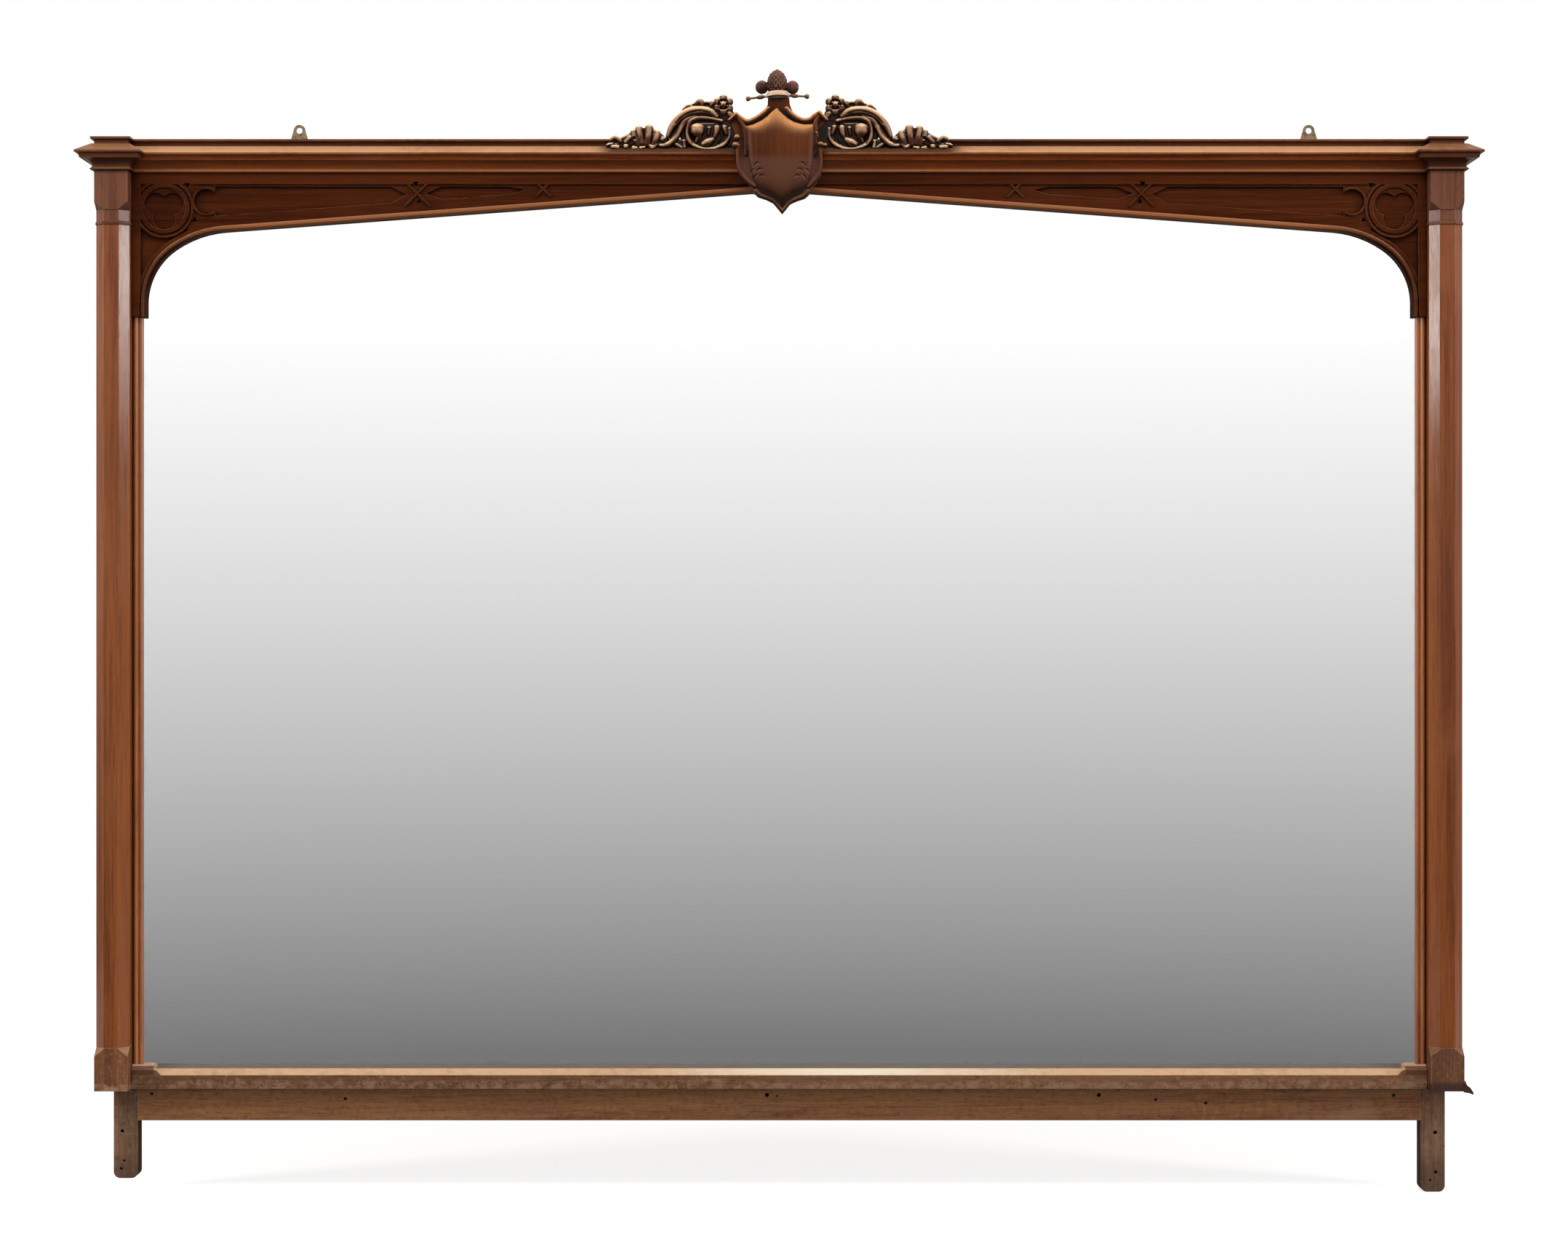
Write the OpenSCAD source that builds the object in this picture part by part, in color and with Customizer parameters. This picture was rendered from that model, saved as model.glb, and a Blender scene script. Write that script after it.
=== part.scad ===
// Overmantel mirror in the Gothic taste: a lapped frame, half-octagon pilasters,
// a blind tracery frieze over a low arch, a mitred cornice and a carved crest.
// X runs along the width from the middle, -Y is the front, Z = 0 is the seat of the base blocks.
// The back of the frame lies on the wall plane, Y = 0.

/* [Frame] */
// Clear width between the two stiles
opening_w = 1778; // [900:1:2400]
// Width of each stile
stile_w = 47; // [40:0.5:70]
// Thickness of stiles and rails
frame_t = 25; // [20:0.5:40]
// Height of the top edge of the frame above the seat
frame_top = 1302; // [900:1:1900]
// Depth of the top rail
top_rail_h = 50; // [36:1:80]
// Height of the base rail above the seat
base_rail_rise = 26; // [16:0.5:32]
// How far the base rail hangs below the seat
base_rail_drop = 46; // [38:1:90]
// Width of the stile ends that run on below the base rail
cleat_w = 33.5; // [24:0.5:40]
// Length of the left stile end below the seat
left_cleat_drop = 126; // [120:1:200]
// Length of the right stile end below the seat
right_cleat_drop = 145; // [136:1:200]
// Radius of the worn corners at the stile ends
cleat_round = 9; // [2:0.5:12]

/* [Mirror plate and backing] */
// Thickness of the mirror plate
glass_t = 5; // [3:0.5:8]
// Clearance round the plate in the frame opening
glass_gap = 2; // [1:0.5:4]
// Thickness of the backboards
board_t = 9.5; // [6:0.5:12]
// Number of backboards
board_count = 6; // [3:1:8]
// Width of the rebate that the backboards lie in
rebate_w = 8; // [5:0.5:12]
// Gap left between neighbouring backboards
board_gap = 1; // [0.5:0.5:3]
// Length of each wedge behind the plate
wedge_l = 40; // [20:1:60]
// Number of wedges along each side of the plate
wedge_count = 5; // [3:1:8]

/* [Sight mouldings] */
// Width of the side slip mouldings
slip_w = 13.5; // [11:0.5:20]
// Thickness of the side slip mouldings
slip_t = 8; // [6:0.5:12]
// How far the slips lap over the plate
slip_lap = 8.3; // [5:0.1:10]
// Radius of the bead along each slip
slip_bead_r = 3; // [1.5:0.25:3.5]
// Height of the sill above the seat
sill_h = 33; // [26:0.5:45]
// Thickness of the sill in front of the frame
sill_t = 15; // [10:0.5:24]
// Small bevel along the whole sill
sill_bevel = 7; // [3:0.5:8]
// Height of the large chamfer in the middle of the sill
sill_chamfer = 14; // [9:0.5:18]
// Distance from the pilaster to the start of the large chamfer
sill_stop = 28; // [15:1:60]

/* [Pilasters] */
// Width of the half-octagon pilaster
pilaster_w = 46; // [36:0.5:60]
// Projection of the pilaster in front of the frame
pilaster_d = 36; // [28:0.5:45]
// Chamfer of the pilaster's front corners
pilaster_chamfer = 12.5; // [8:0.5:15]
// Projection of the square blocks in front of the frame
block_d = 37; // [34:0.5:50]
// Gap between the pilaster and the slip beside it
pilaster_gap = 1; // [0.3:0.1:2]
// Height of the top of the base block
base_block_h = 60; // [35:1:80]
// Height over which a chamfer runs out at a block
broach_h = 12; // [6:0.5:20]
// Length of the square capital block below the cornice
capital_h = 41.5; // [25:0.5:60]
// Length of the necking below the capital block, where it turns into an octagon
necking_h = 28; // [22:0.5:40]
// Height of the ring below the necking
ring_h = 4; // [2:0.5:8]
// Projection of the ring beyond the shaft
ring_out = 1.2; // [0.8:0.1:3]
// Projection of the base moulding round the blocks
base_mould_w = 10; // [6:0.5:16]
// Height of the base moulding on the blocks
base_mould_h = 14; // [9:0.5:24]

/* [Frieze and arch] */
// Thickness of the recessed ground of the frieze
ground_t = 7; // [5:0.5:10]
// Relief of the tracery in front of the ground
tracery_t = 6; // [3:0.5:9]
// Distance of the arch's leg inside the stile
arch_inset = 13; // [9:0.5:18]
// Distance from the top of the frame down to the middle of the arch
arch_drop = 60; // [52:0.5:110]
// Fall of the arch from its middle to its haunch, per unit of width
arch_slope = 0.0735; // [0.04:0.0005:0.12]
// Radius of the haunch where the arch turns down
haunch_r = 90; // [50:1:120]
// Radius of the easing between haunch and slope
knee_r = 140; // [110:1:220]
// Length of the frieze's leg, from the top of the frame to its joint with the slip
leg_l = 235; // [200:1:320]
// Width of the moulding along the arch
arch_bead_w = 8; // [5:0.5:12]
// Radius of the roundel on the middle of its ring
roundel_r = 32; // [24:0.5:36]
// Distance from the roundel's ring to the fine ring round it
roundel_halo = 7.5; // [5:0.5:10]
// Distance from the pilaster to the middle of the roundel
roundel_inset = 45; // [40:0.5:60]
// Width of the tracery ribs at their foot
rib_w = 5.5; // [3:0.25:8]
// Width of the tracery ribs at their crest
rib_top_w = 2.6; // [1:0.2:4]
// Height from the cornice down to the sunk panels of the tracery
border_h = 18.5; // [12:0.5:26]
// Width of the plain margin between the panels and the arch moulding
lower_border = 14; // [8:0.5:20]
// Length of a panel's pointed end
panel_point = 22; // [10:1:34]
// Radius of the lobe that ends the long panel beside the roundel
lobe_r = 17; // [12:0.5:18]
// Distance from the roundel to the large crossing of ribs
crossing_a_run = 350; // [250:1:420]
// Distance from the large to the small crossing of ribs
crossing_b_run = 174; // [110:1:220]
// Reach of each arm of the large crossing
crossing_arm = 16.5; // [10:0.5:20]

/* [Cornice] */
// Height of the cornice moulding from its foot to its top
cornice_h = 36.5; // [32:0.5:60]
// Projection of the cornice moulding
cornice_out = 22.5; // [16:0.5:32]
// Height of the neck below the capping
capping_neck = 6.5; // [3:0.5:12]
// Thickness of the capping's edge
capping_t = 3.2; // [2:0.2:6]
// Projection of the capping's edge
capping_out = 4.5; // [2:0.5:8]

/* [Crest] */
// Width of the shield across its sides, without the ears
shield_w = 119.5; // [90:0.5:150]
// Height of the shield from its tip to the foot of its neck
shield_h = 145.5; // [120:0.5:180]
// Height of the foot of the shield's neck above the cornice
shield_rise = 37.5; // [28:0.5:50]
// Distance of the shield's axis from the middle
shield_off = 1; // [-6:0.5:6]
// Lean of the shield and the finial towards the left, in degrees
shield_lean = 2.2; // [0:0.1:4]
// Thickness of the shield's flat body
shield_t = 9; // [6:0.5:14]
// Bulge of the shield's field
shield_bulge = 13; // [5:0.5:15]
// Width of the roll that rims the shield
rim_w = 6.5; // [4:0.5:9]
// Relief of the roll that rims the shield
rim_relief = 4.5; // [2:0.5:7]
// Width of the shield's neck
neck_w = 26.5; // [20:0.5:34]
// Height of the shield's neck up to the collar
neck_h = 15; // [8:0.5:24]
// Radius of the finial's collar
collar_r = 15; // [10:0.5:20]
// Height of the finial's collar
collar_h = 8.5; // [6:0.5:16]
// Reach of the thin arms beside the collar
arm_reach = 44; // [30:0.5:60]
// Droop of the arms, in degrees
arm_droop = 5; // [0:0.5:12]
// Radius of the finial's bud
bud_r = 13.4; // [8:0.2:16]
// Height of the finial's bud
bud_h = 31.5; // [20:0.5:44]
// Distance from the bud's axis to the lobe on each side of it
side_lobe_x = 22.8; // [18:0.2:28]
// Radius of the lobes beside the bud
side_lobe_r = 7.4; // [5:0.2:9]
// Thickness of the crest's carved board
crest_t = 7; // [5:0.5:12]
// Relief of the carving in front of its board
crest_relief = 9; // [4:0.5:12]
// Distance from the middle to the inner end of each carved scroll
crest_gap = 60; // [56:0.5:80]
// Length of each carved scroll
scroll_l = 98; // [80:0.5:120]
// Height of each carved scroll above the frame
scroll_h = 71; // [56:0.5:86]
// Length of each carved leaf
leaf_l = 80; // [60:0.5:100]
// Height of each carved leaf above the frame
leaf_h = 30; // [24:0.5:40]

/* [Hanging plates] */
// Distance of the left plate from the left stile
left_plate_in = 220; // [60:1:400]
// Distance of the right plate from the right stile
right_plate_in = 151; // [60:1:400]
// Height of the plate's eye above the cornice's top
eye_rise = 18.3; // [12:0.1:30]
// Diameter of the hole in the plate's eye
eye_hole = 8.4; // [5:0.1:10]
// Outer diameter of the plate's eye
eye_d = 16.4; // [13:0.1:24]
// Thickness of the plate
plate_t = 2; // [1.2:0.1:3]
// Width of the plate at its foot
plate_w = 38; // [30:1:60]
// Length of the plate on the back of the rail
plate_l = 38; // [30:1:44]
// Diameter of the plate's screws
plate_screw = 3.6; // [2.5:0.1:5]
// Length of the plate's screws
plate_screw_l = 16; // [10:0.5:20]

/* [Hidden] */
BOARDS = [for (i = [1:board_count]) str("backboard_", i)];

// Clearance between parts that are only laid against each other
fit = 0.3;
// Overshoot of every cut
cut = 1;
stile_in = opening_w / 2;
stile_out = stile_in + stile_w;
lap_t = frame_t / 2;
rail_bottom = frame_top - top_rail_h;
arch_apex = frame_top - arch_drop;
leg_bottom = frame_top - leg_l;
slip_out = stile_in + slip_w - slip_lap;
slip_in = stile_in - slip_lap;
post_in = slip_out + pilaster_gap;
post_out = post_in + pilaster_w;
front = -frame_t;
ground_front = front - ground_t;
frieze_front = ground_front - tracery_t;
block_front = front - block_d;
cornice_foot = frame_top - cornice_h;
capping_top = frame_top + capping_neck + capping_t;
capital_foot = cornice_foot - capital_h;
necking_foot = capital_foot - necking_h;
ring_foot = necking_foot - ring_h;
board_y = -board_t - fit - 0.2;
glass_back = front + glass_t;
nose_front = frieze_front - cornice_out;
arch_half_w = stile_in - arch_inset;

// ---------- shared helpers ----------

// A drawing in the XZ plane, raised from y_back towards the front by t
module raise(y_back, t) {
    translate([0, y_back, 0]) rotate([90, 0, 0]) linear_extrude(t) children();
}
// A section drawn as [distance in front of the wall, height], run along X
module run_x(x0, x1) {
    translate([x0, 0, 0]) rotate([90, 0, 90]) linear_extrude(x1 - x0) mirror([1, 0]) children();
}
// Points of an arc from angle a0 to a1
function arc(c, r, a0, a1, n) =
    [for (i = [0:n]) let (a = a0 + (a1 - a0) * i / n) c + r * [cos(a), sin(a)]];
// A smooth curve through hand-chosen points of any size
function curve_at(a, b, c, d, t) =
    0.5 * (2 * b + (c - a) * t + (2 * a - 5 * b + 4 * c - d) * t * t + (3 * b - a - 3 * c + d) * t * t * t);
function smooth(p, n) = concat(
    [for (i = [0:len(p) - 2]) for (k = [0:n - 1])
        curve_at(p[max(i - 1, 0)], p[i], p[i + 1], p[min(i + 2, len(p) - 1)], k / n)],
    [p[len(p) - 1]]);
function unit(v) = v / norm(v);
function side_of(p, i) =
    let (a = p[max(i - 1, 0)], b = p[min(i + 1, len(p) - 1)], t = unit([b[0] - a[0], b[1] - a[1]]))
    [-t[1], t[0]];
// A carved band along stations [x, z, width, relief]; the section is [across, relief] in shares
module band(stations, section, y_back) {
    m = len(section);
    n = len(stations);
    points = [for (i = [0:n - 1]) for (s = section)
        let (p = stations[i], q = side_of(stations, i))
        [p[0] + q[0] * p[2] / 2 * s[0], y_back - p[3] * s[1], p[1] + q[1] * p[2] / 2 * s[0]]];
    walls = [for (i = [0:n - 2]) for (j = [0:m - 1])
        let (a = i * m + j, b = i * m + (j + 1) % m)
        each [[a, b, b + m], [a, b + m, a + m]]];
    caps = [for (j = [1:m - 2]) each [[0, j + 1, j], [(n - 1) * m, (n - 1) * m + j, (n - 1) * m + j + 1]]];
    polyhedron(points, concat(walls, caps));
}
round_section = [[0, 0], [-1, 0], [-0.9, 0.55], [-0.5, 0.92], [0, 1], [0.5, 0.92], [0.9, 0.55], [1, 0]];
hollow_section = [[0, 0], [-1, 0], [-1, 0.75], [-0.78, 1], [-0.5, 0.8], [0, 0.55], [0.5, 0.8],
                  [0.78, 1], [1, 0.75], [1, 0]];

// ---------- frame ----------

// Screw holes in the stile ends: [distance out from the opening, height, diameter]
left_cleat_holes = [[21.5, -61, 5.5], [19, -102, 3.5], [23, -113, 4]];
right_cleat_holes = [[20, -63, 6], [21, -118, 5], [13, -129, 3.5]];
module stile(drop, holes) {
    difference() {
        union() {
            raise(0, frame_t) translate([stile_in, 0]) square([stile_w, frame_top]);
            raise(0, frame_t) translate([stile_in, -drop + cleat_round])
                square([cleat_w, drop - cleat_round + cut]);
            raise(0, frame_t) translate([stile_in + cleat_round, -drop])
                square([cleat_w - 2 * cleat_round, cleat_round + cut]);
            for (x = [stile_in + cleat_round, stile_in + cleat_w - cleat_round])
                translate([x, 0, -drop + cleat_round]) rotate([90, 0, 0])
                    cylinder(r = cleat_round, h = frame_t, $fn = 48);
        }
        lap_cuts();
        rebate_cut();
        for (h = holes) translate([stile_in + h[0], cut, h[1]]) rotate([90, 0, 0])
            cylinder(d = h[2], h = frame_t + 2 * cut, $fn = 32);
    }
}
// The halving at each rail, cut from the back of the stile
module lap_cuts() {
    translate([stile_in - cut, -lap_t, rail_bottom])
        cube([stile_w + 2 * cut, lap_t + cut, top_rail_h + cut]);
    translate([stile_in - cut, -lap_t, -base_rail_drop])
        cube([stile_w + 2 * cut, lap_t + cut, base_rail_drop + base_rail_rise]);
}
module rebate_cut() {
    translate([-stile_in - rebate_w, board_y, base_rail_rise - rebate_w])
        cube([2 * (stile_in + rebate_w), -board_y + cut, rail_bottom - base_rail_rise + 2 * rebate_w]);
}
module left_stile() color("#65503c") mirror([1, 0, 0]) stile(left_cleat_drop, left_cleat_holes);
module right_stile() color("#65503c") stile(right_cleat_drop, right_cleat_holes);

module top_rail() color("#6b4a30") difference() {
    union() {
        translate([-stile_in, -frame_t, rail_bottom]) cube([opening_w, frame_t, top_rail_h]);
        translate([-stile_out, -lap_t, rail_bottom]) cube([2 * stile_out, lap_t, top_rail_h]);
    }
    rebate_cut();
    plate_pockets();
}
// Old screw holes along the base rail: [distance from the middle, height, diameter], bored at
// these distances in a rail for the first opening and spread with it
first_opening_w = 1778;
rail_holes = [[-870, -9, 5], [-601.5, -16, 5], [-17, -11, 6], [443, -11, 6], [521.5, -17, 5],
              [591, -22, 5], [851.5, -11, 6]];
module base_rail() color("#714b34") difference() {
    union() {
        translate([-stile_in, -frame_t, -base_rail_drop])
            cube([opening_w, frame_t, base_rail_drop + base_rail_rise]);
        translate([-stile_in - cleat_w, -lap_t, -base_rail_drop])
            cube([opening_w + 2 * cleat_w, lap_t, base_rail_drop]);
        translate([-stile_out, -lap_t, 0]) cube([2 * stile_out, lap_t, base_rail_rise]);
    }
    rebate_cut();
    for (h = rail_holes)
        translate([h[0] * opening_w / first_opening_w, cut, h[1]]) rotate([90, 0, 0])
            cylinder(d = h[2], h = frame_t + 2 * cut, $fn = 32);
}

// ---------- plate and backing ----------

plate_in = stile_in - glass_gap;
plate_low = base_rail_rise + glass_gap;
plate_high = rail_bottom - glass_gap;
module mirror_plate() color("#b9c0c0")
    translate([-plate_in, front, plate_low]) cube([2 * plate_in, glass_t, plate_high - plate_low]);

board_run = 2 * (stile_in + rebate_w - fit);
board_w = (board_run - (board_count - 1) * board_gap) / board_count;
module backboard(i) color(i % 2 == 0 ? "#9b7a52" : "#a08058")
    translate([-board_run / 2 + i * (board_w + board_gap), -board_t - fit,
               base_rail_rise - rebate_w + fit])
        cube([board_w, board_t, rail_bottom - base_rail_rise + 2 * rebate_w - 2 * fit]);

// Softwood wedges between the edge of the plate and the backboards
wedge_t = -board_t - fit - glass_back;
module wedge(l) {
    rotate([0, 90, 0]) translate([0, 0, -l / 2]) linear_extrude(l)
        polygon([[0, 0], [0, wedge_t], [-14, wedge_t], [-6, 0]]);
}
module glass_wedges() color("#a58a62") {
    for (k = [0:wedge_count - 1]) {
        x = (k - (wedge_count - 1) / 2) * opening_w / wedge_count;
        z = plate_low + (plate_high - plate_low) * (k + 0.5) / wedge_count;
        translate([x, glass_back, base_rail_rise]) wedge(wedge_l);
        translate([x, glass_back, rail_bottom]) mirror([0, 0, 1]) wedge(wedge_l);
        for (s = [0, 1]) mirror([s, 0, 0])
            translate([stile_in, glass_back, z]) rotate([0, -90, 0]) wedge(wedge_l);
    }
}

// ---------- sight mouldings ----------

// Section of the slip: [distance from its sight edge, projection], a fillet, a quirk and a bead
slip_land = slip_t - slip_bead_r;
module slip_section() {
    bead = slip_w - slip_bead_r - 0.8;
    polygon(concat([[0, 0], [1.2, slip_land + 1.5], [4, slip_land + 1.5], [5.5, slip_land]],
        arc([bead, slip_land], slip_bead_r, 180, 0, 10), [[slip_w, slip_land], [slip_w, 0]]));
}
module slip() color("#7a4a32")
    translate([slip_in, front, sill_h]) mirror([0, 1, 0])
        linear_extrude(leg_bottom - sill_h) slip_section();
module left_slip() mirror([1, 0, 0]) slip();
module right_slip() slip();

module sill() color("#8a5f3f") difference() {
    run_x(-post_in + fit, post_in - fit)
        polygon([[-front, 0], [-front + sill_t, 0], [-front + sill_t, sill_h - sill_bevel],
                 [-front + sill_t - sill_bevel, sill_h], [-front, sill_h]]);
    // The large chamfer stops short of the pilasters on 45 degree faces
    intersection() {
        run_x(-post_in, post_in)
            polygon([[-front + sill_t + cut, sill_h - sill_chamfer - cut],
                     [-front + sill_t + cut, sill_h + cut], [-front + sill_t - sill_chamfer, sill_h + cut],
                     [-front + sill_t - sill_chamfer, sill_h]]);
        half = post_in - sill_stop;
        raise(0, frame_t + sill_t + 2 * cut)
            polygon([[-half + sill_chamfer, sill_h - sill_chamfer - cut],
                     [half - sill_chamfer, sill_h - sill_chamfer - cut],
                     [half + cut, sill_h + cut], [-half - cut, sill_h + cut]]);
    }
}

// ---------- pilasters ----------

// Plan of the post with its front corners taken off by c
module post_plan(d, c, out = 0) {
    polygon([[post_in - out, front], [post_in - out, front - d + c],
             [post_in + c - out, front - d - out], [post_out - c + out, front - d - out],
             [post_out + out, front - d + c], [post_out + out, front]]);
}
module pilaster() color("#7c4b2f")
    translate([0, 0, base_block_h]) linear_extrude(ring_foot - base_block_h)
        post_plan(pilaster_d, pilaster_chamfer);
module left_pilaster() mirror([1, 0, 0]) pilaster();
module right_pilaster() pilaster();

module neck_ring() color("#6d432b") translate([0, 0, ring_foot])
    linear_extrude(ring_h) post_plan(pilaster_d, pilaster_chamfer, ring_out);
module left_neck_ring() mirror([1, 0, 0]) neck_ring();
module right_neck_ring() neck_ring();

// Takes one front corner of a block down to the octagon between two heights, then runs out as a broach
module corner_cut(x, s, low, high) {
    c = pilaster_chamfer + block_d - pilaster_d;
    translate([x, block_front, 0]) mirror([s, 0, 0]) hull() {
        translate([0, 0, low]) linear_extrude(high - low)
            polygon([[-cut, -cut], [c + cut, -cut], [-cut, c + cut]]);
        translate([-cut, -cut, low]) cube([cut / 2, cut / 2, high - low + broach_h]);
    }
}
module capital_block() color("#6f452f") difference() {
    translate([post_in, block_front, necking_foot])
        cube([pilaster_w, block_d, frame_top - necking_foot]);
    translate([post_in - cut, block_front - cut, necking_foot - cut])
        cube([pilaster_w + 2 * cut, block_d - pilaster_d + cut, necking_h - broach_h + cut]);
    corner_cut(post_in, 0, necking_foot - cut, capital_foot - broach_h);
    corner_cut(post_out, 1, necking_foot - cut, capital_foot - broach_h);
}
module left_capital_block() mirror([1, 0, 0]) capital_block();
module right_capital_block() capital_block();

module base_block() color("#6f452f") difference() {
    translate([post_in, block_front, 0]) cube([pilaster_w, block_d, base_block_h]);
    translate([0, 0, base_block_h]) mirror([0, 0, 1]) {
        corner_cut(post_in, 0, -cut, cut);
        corner_cut(post_out, 1, -cut, cut);
    }
}
module left_base_block() mirror([1, 0, 0]) base_block();
module right_base_block() base_block();

// The one length of base moulding that is left, a mitred return on the right block's outer side
module base_moulding_fragment() color("#6a4630") intersection() {
    w = base_mould_w;
    translate([post_out, 0, 0]) rotate([90, 0, 0]) linear_extrude(w - block_front)
        polygon(concat([[0, base_mould_h], [1.5, base_mould_h]],
            arc([w, base_mould_h], w - 1.5, 180, 245, 6), [[w, 0], [w, -3], [w - 5, -1.5], [0, -1.5]]));
    translate([0, 0, -w]) linear_extrude(base_mould_h + 2 * w)
        polygon([[post_out, 0], [post_out + w, 0], [post_out + w, block_front - w], [post_out, block_front]]);
}

// ---------- frieze ----------

// The arch in the right half is a slope, an easing (the knee) and the haunch above the leg
slope_angle = atan(arch_slope);
// Direction from the haunch's centre in which the haunch passes into the knee
join_a = 55;
knee_x = arch_half_w - haunch_r - (knee_r - haunch_r) * cos(join_a);
function slope_z(x) = arch_apex - arch_slope * x;
knee_c = [knee_x, slope_z(knee_x) - knee_r / cos(slope_angle)];
haunch_c = knee_c + (knee_r - haunch_r) * [cos(join_a), sin(join_a)];
// The arch edge, set back by off into the frieze
function arch_edge(off, n) = concat(
    [[0, slope_z(0) + off / cos(slope_angle)]],
    arc(knee_c, knee_r + off, 90 - slope_angle, join_a, n),
    [for (i = [1:2 * n]) let (a = join_a * (1 - i / (2 * n)))
        haunch_c + (haunch_r + off) * [cos(a), sin(a)]],
    [[arch_half_w + off, leg_bottom]]);

module frieze_area(off, side_gap) {
    polygon(concat(arch_edge(off, 4),
        [[post_in - side_gap, leg_bottom], [post_in - side_gap, frame_top], [0, frame_top]]));
}
module spandrel_ground() color("#4a2413") raise(front, ground_t) frieze_area(0, fit);
module left_spandrel_ground() mirror([1, 0, 0]) spandrel_ground();
module right_spandrel_ground() spandrel_ground();

// Height of the panels' top edge, and of their foot, which follows the slope of the arch
panel_top = cornice_foot - border_h;
function panel_foot(x) = min(slope_z(x) + arch_bead_w + lower_border, panel_top - rib_w);
function panel_mid(x) = (panel_top + panel_foot(x)) / 2;

roundel = [post_in - roundel_inset, panel_top - roundel_r + rib_w / 2 - 1];
lobe_x = roundel[0] - roundel_r - roundel_halo - lobe_r - 2;
lobe_c = [lobe_x, panel_mid(lobe_x)];
crossing_a = roundel[0] - crossing_a_run;
crossing_b = crossing_a - crossing_b_run;
// Step of the top border in front of the pierced plate, above the panels
border_lip = 3;
cusp_t = tracery_t * 0.6;
side_border_w = 12.5;
leg_margin = 5;

module stroke(a, b, w) {
    translate(a) rotate(atan2(b[1] - a[1], b[0] - a[0])) translate([-w / 2, -w / 2])
        square([norm(b - a) + w, w]);
}
// Two ribs that cross between neighbouring panels
module crossing(x, arm, w) {
    c = [x, panel_mid(x)];
    stroke(c + arm * [-1, 1], c + arm * [1, -1], w);
    stroke(c + arm * [1, 1], c + arm * [-1, -1], w);
}
module ring(c, r, w) translate(c) difference() {
    circle(r + w / 2, $fn = 64);
    circle(r - w / 2, $fn = 64);
}
module ribs() {
    ring(roundel, roundel_r, rib_w);
    ring(roundel, roundel_r + roundel_halo, rib_top_w);
    difference() {
        ring(lobe_c, lobe_r + rib_top_w / 2, rib_top_w);
        translate(lobe_c + [-2 * lobe_r, -lobe_r]) square([lobe_r * 1.4, 2 * lobe_r]);
    }
    crossing(crossing_a, crossing_arm, rib_top_w);
    crossing(crossing_b, crossing_arm * 0.6, rib_top_w);
}
// The inverted trefoil of the roundel, cut through the cusped plate
module trefoil() for (a = [30, 150, 270])
    translate(roundel + roundel_r * 0.42 * [cos(a), sin(a)]) circle(roundel_r * 0.47, $fn = 40);
// The long panel, open to its lobe at the outer end
module long_panel() {
    inner = crossing_a + crossing_arm * 0.9;
    outer = lobe_c[0] - lobe_r * 0.7;
    polygon([[inner, panel_mid(inner)], [inner + panel_point, panel_top], [outer, panel_top],
             [outer, panel_foot(outer)], [inner + panel_point, panel_foot(inner + panel_point)]]);
    translate(lobe_c) circle(lobe_r, $fn = 48);
}
// The short panel, pointed at both ends
module short_panel() {
    inner = crossing_b + crossing_arm * 1.5;
    outer = crossing_a - crossing_arm * 0.7;
    polygon([[inner, panel_mid(inner)], [inner + panel_point, panel_top], [outer - panel_point, panel_top],
             [outer, panel_mid(outer)], [outer - panel_point, panel_foot(outer - panel_point)],
             [inner + panel_point, panel_foot(inner + panel_point)]]);
}
// A small sunk triangle; s turns its point down or up
module dart(c, s) polygon([c + [-4.5, 3.5 * s], c + [4.5, 3.5 * s], c + [0, -3.5 * s]]);
module darts() {
    dart([crossing_a + 2, panel_top + 3], 1);
    dart([crossing_a - 2, panel_foot(crossing_a)], -1);
    dart([lobe_c[0] + lobe_r * 1.55, panel_top + 1], 1);
    dart([lobe_c[0] + lobe_r * 0.95, panel_foot(lobe_c[0]) - 4], -1);
}
// The narrow space under the roundel, between the pilaster and the arch
module leg_space() difference() {
    intersection() {
        frieze_area(arch_bead_w + leg_margin, fit);
        translate([roundel[0] - roundel_r, leg_bottom])
            square([post_in - side_border_w - roundel[0] + roundel_r, roundel[1] - leg_bottom]);
    }
    translate(roundel) circle(roundel_r + roundel_halo, $fn = 64);
}
module border(h) {
    translate([0, cornice_foot - h]) square([post_in - fit, h + cornice_h]);
    translate([post_in - side_border_w, leg_bottom]) square([side_border_w - fit, frame_top - leg_bottom]);
}
module tracery() color("#47220f") {
    raise(ground_front, cusp_t) difference() {
        frieze_area(arch_bead_w, fit);
        trefoil();
        long_panel();
        short_panel();
        darts();
        leg_space();
    }
    raise(ground_front, tracery_t) difference() {
        intersection() {
            frieze_area(arch_bead_w, fit);
            union() {
                ribs();
                border(border_h - border_lip);
            }
        }
        darts();
    }
}
module left_tracery() mirror([1, 0, 0]) tracery();
module right_tracery() tracery();

module arch_moulding() color("#8c6145") {
    path = arch_edge(arch_bead_w / 2, 6);
    band([for (p = path) [p[0], p[1], arch_bead_w, tracery_t + 1]], round_section, ground_front);
}
module left_arch_moulding() mirror([1, 0, 0]) arch_moulding();
module right_arch_moulding() arch_moulding();

// ---------- cornice ----------

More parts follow.
